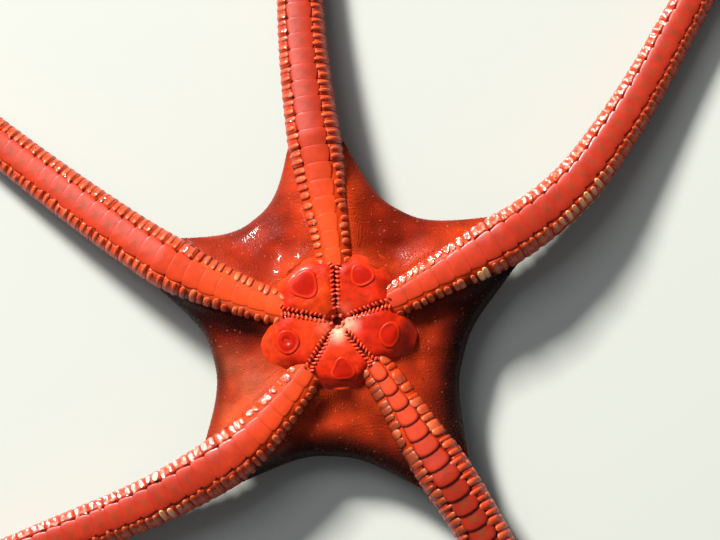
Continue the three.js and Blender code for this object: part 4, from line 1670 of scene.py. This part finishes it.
@dataclass(frozen=True)
class DiscCoat:
    """Granules of the disc, the lips of its slits and the shields of its back."""

    skin: Skin
    draw: Draw
    top_pitch: float = 0.23 * MM
    back_pitch: float = 0.42 * MM
    grain: float = 0.1 * MM
    grain_spread: float = 0.012 * MM
    grain_height: float = 0.03 * MM
    speck_share: float = 0.02
    lip_along: float = 9.6 * MM
    lip_column: float = 7.0
    lip_sizes: tuple[float, float, float] = (1.5 * MM, 0.26 * MM, 0.05 * MM)
    shield_sizes: tuple[float, float, float] = (1.5 * MM, 0.95 * MM, 0.1 * MM)
    shield_ends: Sequence = ((11.6 * MM, 1.7 * MM, 0.1 * MM), (13.6 * MM, 2.1 * MM, 0.5 * MM))

    def granules(self, index: int | None = None) -> Shape:
        """Low round granules over the skin after an arm, or the back, with a few pale ones among them.

        Args:
            index: Number of the arm less one, or None for the back.

        Returns:
            The granules.
        """
        behind, draw = index is None, self.draw
        patch = self.skin.back_patch() if behind else self.skin.skin_patch(index)
        row, column = patch.scattered(self.back_pitch if behind else self.top_pitch, draw)
        # On the mouth side the granules take the skin's marks, its painted light, shade and sheen among them
        marks = {"earth": np.ones_like(row)} if behind else self.skin.marks_at(index, row, column)
        count = len(row)
        specks = draw.uniform(size=count) < self.speck_share
        pale = np.where(specks, draw.uniform(0.15, 0.5, count), 0.03 * draw.uniform(size=count))
        earth = marks["earth"] * draw.uniform(0.85, 1.0, count)
        wide = self.grain + self.grain_spread * (draw.normal(size=count) + specks)
        wide, tall = wide[:, None], (self.grain_height * (1 + specks))[:, None]
        down, aside, out = patch.frames(row, column)
        origin, place = patch.at(row, column)
        pale = np.maximum(marks.get("pale", 0.0), pale * (1 - 0.6 * earth))
        marks = {name: values[:, None] for name, values in {**marks, "pale": pale, "earth": earth}.items()}
        template = Template.dome(((0.5, 0.85), (1.0, -0.35)), 6)
        return template.set_out(origin, (wide * down, wide * aside, tall * out), place, GRANULE_PLACE, marks)

    def lips(self) -> Shape:
        """Low lips round the slit on each side of an arm, each a closed ridge around a gap painted dark as
        shade.

        Returns:
            The lips of all ten slits.
        """
        template = Template.dome(((0.0001, -0.6), (0.4, -0.5), (0.6, 0.5), (0.8, 1.0), (1.0, -0.6)), 20)
        # Painted shade: the middle of each lip is deep red where the slit opens; the lips take the skin's
        # marks
        gap = 0.6 * smooth_step(0.62, 0.4, template.form.marks["edge"])[None]
        disc, shapes = self.skin.disc, []
        reach, _ = disc.top_rows()
        row = np.full(2, np.interp(-self.lip_along, -disc.reach_along(reach), np.arange(len(reach))))
        column = np.array([self.lip_column, disc.skin_columns - self.lip_column])
        for index in range(5):
            patch = self.skin.skin_patch(index)
            axes = [size * axis for size, axis in zip(self.lip_sizes, patch.frames(row, column))]
            marks = {name: v[:, None] for name, v in self.skin.marks_at(index, row, column).items()}
            marks["deep"] = np.maximum(gap, marks["deep"])
            origin, place = patch.at(row, column)
            shapes.append(template.set_out(origin, axes, place, 0.012, marks))
        return Shape.joined(shapes)

    def back_shields(self) -> Shape:
        """Pairs of smooth oval shields on the back, beside the root of each arm.

        Returns:
            The shields.
        """
        template = Template.dome(((0.0001, 1.0), (0.5, 0.93), (0.82, 0.6), (0.96, 0.1), (1.0, -0.6)), 24)
        side, shapes = np.array([-1.0, 1.0]), []
        for arm in self.skin.arms:
            origin, ahead = (arm.beside(along, side * aside, up) for along, aside, up in self.shield_ends)
            lengthwise = unit(ahead - origin)
            sideways = unit(np.cross((0.0, 0.0, -1.0), lengthwise))
            directions = (lengthwise, sideways, np.cross(lengthwise, sideways))
            axes = [size * direction for size, direction in zip(self.shield_sizes, directions)]
            place = np.broadcast_to((0.1 * arm.number + 0.04 * side)[:, None], (2, 2))
            shapes.append(template.set_out(origin, axes, place, 0.03, {"earth": np.array(0.75)}))
        return Shape.joined(shapes)


def to_linear(code: str) -> tuple[float, float, float, float]:
    """Linear colour of an sRGB hex code.

    Args:
        code: Six hex digits after a number sign.

    Returns:
        Red, green, blue and full cover.
    """
    channels = [int(code[i : i + 2], 16) / 255 for i in (1, 3, 5)]
    red, green, blue = (c / 12.92 if c <= 0.04045 else ((c + 0.055) / 1.055) ** 2.4 for c in channels)
    return red, green, blue, 1.0


def new_material(name: str, sockets: dict[str, object]) -> tuple[bpy.types.Material, bpy.types.Node]:
    """Makes a material of one shader.

    Args:
        name: Name of the material.
        sockets: What is the same all over, by the shader's socket.

    Returns:
        The material and its shader.
    """
    made = bpy.data.materials.new(name)
    made.use_nodes = True
    shader = made.node_tree.nodes["Principled BSDF"]
    for socket, value in sockets.items():
        shader.inputs[socket].default_value = value
    return made, shader


def add_node(
    tree: bpy.types.NodeTree, kind: str, settings: dict | None = None, links: dict | None = None
) -> bpy.types.Node:
    """Adds a node with its settings and links.

    Args:
        tree: The material's nodes.
        kind: Type of the node, without "ShaderNode".
        settings: Properties by name, and inputs by number or name.
        links: Output sockets by the input that they feed.

    Returns:
        The node.
    """
    node = tree.nodes.new("ShaderNode" + kind)
    for key, value in (settings or {}).items():
        if isinstance(key, str) and hasattr(node, key):
            setattr(node, key, value)
        else:
            node.inputs[key].default_value = value
    for key, output in (links or {}).items():
        tree.links.new(output, node.inputs[key])
    return node


@dataclass(frozen=True)
class Finish:
    """Moist, lime-hardened tissue under a film of water.

    Its own colour turns to the others by the marks deep, spot, bright, earth and pale, and the film
    thins by the mark matt. In places deep, bright, earth and pale carry painted shade, light and sheen.
    Three noises make it uneven: one as wide as mottle changes the colour, one as wide as grain the
    surface, and one as wide as film_grain the film. A bridged film faces where the film's marks say.
    """

    name: str
    base: str
    deep: str = "#6d0d05"
    spot: str = "#8d6a3c"
    bright: str = "#f4582c"
    earth: str = "#5e2118"
    pale: str = "#f7b08c"
    roughness: float = 0.36
    gloss: float = 0.35
    film: float = 0.65
    film_roughness: float = 0.12
    film_index: float = 1.33
    grain: float = 0.12 * MM
    relief: float = 0.012 * MM
    mottle: float = 1.6 * MM
    uneven: float = 0.16
    softness: float = 0.12
    film_grain: float = 0.4 * MM
    film_relief: float = 0.02 * MM
    bridged: bool = False

    def material(self) -> bpy.types.Material:
        """The finish as a material, made once.

        Returns:
            The material.
        """
        if self.name in bpy.data.materials:
            return bpy.data.materials[self.name]
        sockets = {
            "IOR": 1.45,
            "Specular IOR Level": self.gloss,
            "Coat Roughness": self.film_roughness,
            "Coat IOR": self.film_index,
            "Subsurface Weight": self.softness,
            "Subsurface Radius": (1.0, 0.3, 0.15),
            "Subsurface Scale": 0.8 * MM,
        }
        made, shader = new_material(self.name, sockets)
        tree = made.node_tree
        names = ("bright", "deep", "earth", "spot", "pale", "matt", *FILM_MARKS)
        mark = {
            name: add_node(tree, "Attribute", {"attribute_name": name}).outputs["Fac"]
            for name in (names if self.bridged else names[:6])
        }
        colour = add_node(tree, "RGB").outputs[0]
        colour.default_value = to_linear(self.base)
        for name in names[:5]:
            code = to_linear(getattr(self, name))
            ends = {0: mark[name], 6: colour}
            colour = add_node(tree, "Mix", {"data_type": "RGBA", 7: code}, ends).outputs[2]
        place = add_node(tree, "TexCoord").outputs["Object"]
        noises = ((self.mottle, 4.0), (self.grain, 2.0), (self.film_grain, 1.0))
        slow, fine, wet = (
            add_node(tree, "TexNoise", {"Scale": 1 / wide, "Detail": detail}, {"Vector": place}).outputs[0]
            for wide, detail in noises
        )
        ranges = (
            (slow, (0.3, 0.7, 1 - self.uneven, 1 + self.uneven)),
            (fine, (0.3, 0.7, self.roughness - 0.07, self.roughness + 0.1)),
            (mark["matt"], (0.0, 1.0, self.film, 0.0)),
        )
        tone, rough, film = (
            add_node(tree, "MapRange", dict(enumerate(ends, 1)), {0: source}).outputs[0]
            for source, ends in ranges
        )
        bump, ripple = (
            add_node(tree, "Bump", {"Strength": 1.0, "Distance": depth}, {"Height": height})
            for depth, height in ((self.relief, fine), (self.film_relief, wet))
        )
        if self.bridged:
            faces = add_node(tree, "CombineXYZ", {}, dict(enumerate(mark[name] for name in FILM_MARKS)))
            tree.links.new(faces.outputs[0], ripple.inputs["Normal"])
        shaded = add_node(tree, "HueSaturation", {}, {"Value": tone, "Color": colour})
        ends = {
            "Base Color": shaded.outputs[0],
            "Roughness": rough,
            "Normal": bump.outputs[0],
            "Coat Weight": film,
            "Coat Normal": ripple.outputs[0],
        }
        for name, output in ends.items():
            tree.links.new(output, shader.inputs[name])
        return made


# Soft granular skin, darker and browner than the plates
SKIN = Finish(
    "disc_skin_moist", "#9c220a", deep="#500600", bright="#cc3c12", earth="#120402", pale="#d88658",
    gloss=0.06, film=0.5, film_roughness=0.07, relief=0.006 * MM, uneven=0.28, mottle=2.2 * MM,
    softness=0.25,
)  # fmt: skip
# Smooth lime plates that show their red through a wet film
PLATE = Finish(
    "arm_plate_lime", "#ad2c16", deep="#6c0c06", bright="#e64812", earth="#341208", spot="#62421e",
    film=0.3, film_roughness=0.08,
)  # fmt: skip
# Blunt teeth in ribs, orange with pale tips and brown towards the back
SPINE = Finish(
    "arm_rib_lime", "#cc3c10", pale="#fa8c58", earth="#5a1e0c", spot="#f4c890", mottle=0.7 * MM,
    film=0.8, film_roughness=0.07, film_index=1.8, film_grain=0.45 * MM, film_relief=0.18 * MM, bridged=True,
    softness=0.3,
)  # fmt: skip
# Swollen jaws under a granular skin, and their papillae
JAW = Finish(
    "jaw_skin_moist", "#bc2006", deep="#8a1206", bright="#d83c10", pale="#e8a88c",
    gloss=0.15, film=0.25, film_relief=0.01 * MM, grain=0.3 * MM, relief=0.02 * MM,
    mottle=0.9 * MM, uneven=0.3, softness=0.4,
)  # fmt: skip
# Deep red shields with slightly paler rims
SHIELD = Finish(
    "jaw_shield_lime", "#c02004", deep="#a61202", pale="#d8401c", gloss=0.12, mottle=1.0 * MM, film=0.2,
)  # fmt: skip


@dataclass(frozen=True)
class Studio:
    """Pale floor, soft lights and the camera."""

    frame_width: float = 72 * MM
    distance: float = 300 * MM
    sensor: float = 36.0
    lean: float = 7.0
    lean_towards: float = 308.0
    aim: tuple[float, float, float] = (2.3 * MM, 5.1 * MM, 6.6 * MM)
    floor_half: float = 3.0
    floor_low: float = -0.02 * MM
    air: float = 0.15

    def build(self) -> None:
        """Makes the floor, the lights, the camera and the even light of the air."""
        self._floor()
        self._light("key", (-0.925, 1.35, 1.05), 0.35, 94.0, (1.0, 0.97, 0.92))
        self._light("sheen", (-0.11, 0.12, 0.26), 0.14, 0.2, (0.95, 0.97, 1.0))
        self._camera()
        scene = bpy.context.scene
        scene.world = bpy.data.worlds.new("studio_air")
        scene.world.use_nodes = True
        inputs = scene.world.node_tree.nodes["Background"].inputs
        inputs[0].default_value, inputs[1].default_value = (0.9, 0.94, 1.0, 1.0), self.air
        scene.view_settings.view_transform = "Standard"
        scene.view_settings.look = "None"

    def _floor(self) -> None:
        """A plain pale sheet just under the model."""
        mesh = bpy.data.meshes.new("floor")
        signs = ((-1, -1), (1, -1), (1, 1), (-1, 1))
        corners = [(x * self.floor_half, y * self.floor_half, self.floor_low) for x, y in signs]
        mesh.from_pydata(corners, [], [(0, 1, 2, 3)])
        paper = {"Base Color": to_linear("#bfc3bd"), "Roughness": 0.85}
        mesh.materials.append(new_material("floor_paper", paper)[0])
        add_object("floor", mesh)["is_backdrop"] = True

    def _light(self, name: str, place: Sequence, size: float, power: float, colour: Sequence) -> None:
        """A square light that points at the middle of the model.

        Args:
            name: Name of the light.
            place: Where it is.
            size: Length of its side.
            power: Power in watts.
            colour: Its colour.
        """
        data = bpy.data.lights.new(name, "AREA")
        data.size, data.energy, data.color = size, power, colour
        light = add_object(name, data)
        light.location = place
        light.rotation_euler = (-Vector(place)).to_track_quat("-Z", "Y").to_euler()

    def _camera(self) -> None:
        """Camera nearly straight above, leaning to the lower right of the picture."""
        data = bpy.data.cameras.new("camera")
        data.sensor_width = self.sensor
        data.lens = self.sensor * self.distance / self.frame_width
        data.clip_start, data.clip_end = 0.01, 20.0
        camera = add_object("camera", data)
        lean, towards = math.radians(self.lean), math.radians(self.lean_towards)
        flat = math.sin(lean)
        offset = Vector((flat * math.cos(towards), flat * math.sin(towards), math.cos(lean)))
        camera.location = Vector(self.aim) + offset * self.distance
        back = offset.normalized()
        right = Vector((0.0, 1.0, 0.0)).cross(back).normalized()
        rotation = Matrix((right, back.cross(right), back)).transposed()
        camera.rotation_euler = rotation.to_euler()
        bpy.context.scene.camera = camera


def main() -> None:
    """Builds the animal, piece by piece, and the studio round it."""
    logging.basicConfig(level=logging.INFO, format="%(name)s %(message)s")
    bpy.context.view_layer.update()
    draw = np.random.default_rng(SEED)
    arms = [Arm(i + 1, headings, look) for i, (headings, look) in enumerate(zip(ARM_HEADINGS, LOOKS))]
    skin = Skin(arms)
    lengths = [f"{arm.name}_{part}" for arm in arms for part in ("base", "middle", "tip")]
    skin.shape().piece("star_skin", SKIN, Slot.DISC, "disc", *lengths)
    for arm in arms:
        coat = ArmCoat(arm)
        plates = Shape.joined([coat.ventral(), coat.dorsal(), coat.lateral()])
        plates.piece(f"{arm.name}_plates", PLATE, Slot.ARM)
        coat.ribs(draw).piece(f"{arm.name}_ribs", SPINE, Slot.ARM)
    for number, jaw in enumerate(make_jaws(arms), 1):
        name = f"jaw_{number}"
        jaw.body().piece(f"{name}_body", JAW, Slot.JAW, name)
        jaw.papillae(draw).piece(f"{name}_papillae", JAW, Slot.JAW)
        jaw.shield().piece(f"{name}_shield", SHIELD, Slot.JAW)
    disc_coat = DiscCoat(skin, draw)
    for index in range(len(arms)):
        disc_coat.granules(index).piece(f"disc_granules_{index + 1}", SKIN, Slot.DISC)
    disc_coat.granules().piece("back_granules", SKIN, Slot.DISC)
    disc_coat.lips().piece("disc_lips", SKIN, Slot.DISC)
    disc_coat.back_shields().piece("back_shields", PLATE, Slot.DISC)
    Studio().build()
    dressed = [list(corner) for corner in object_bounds()]
    LOG.info("box in mm: %s", [[round(value / MM, 2) for value in corner] for corner in dressed])


if __name__ == "__main__":
    main()
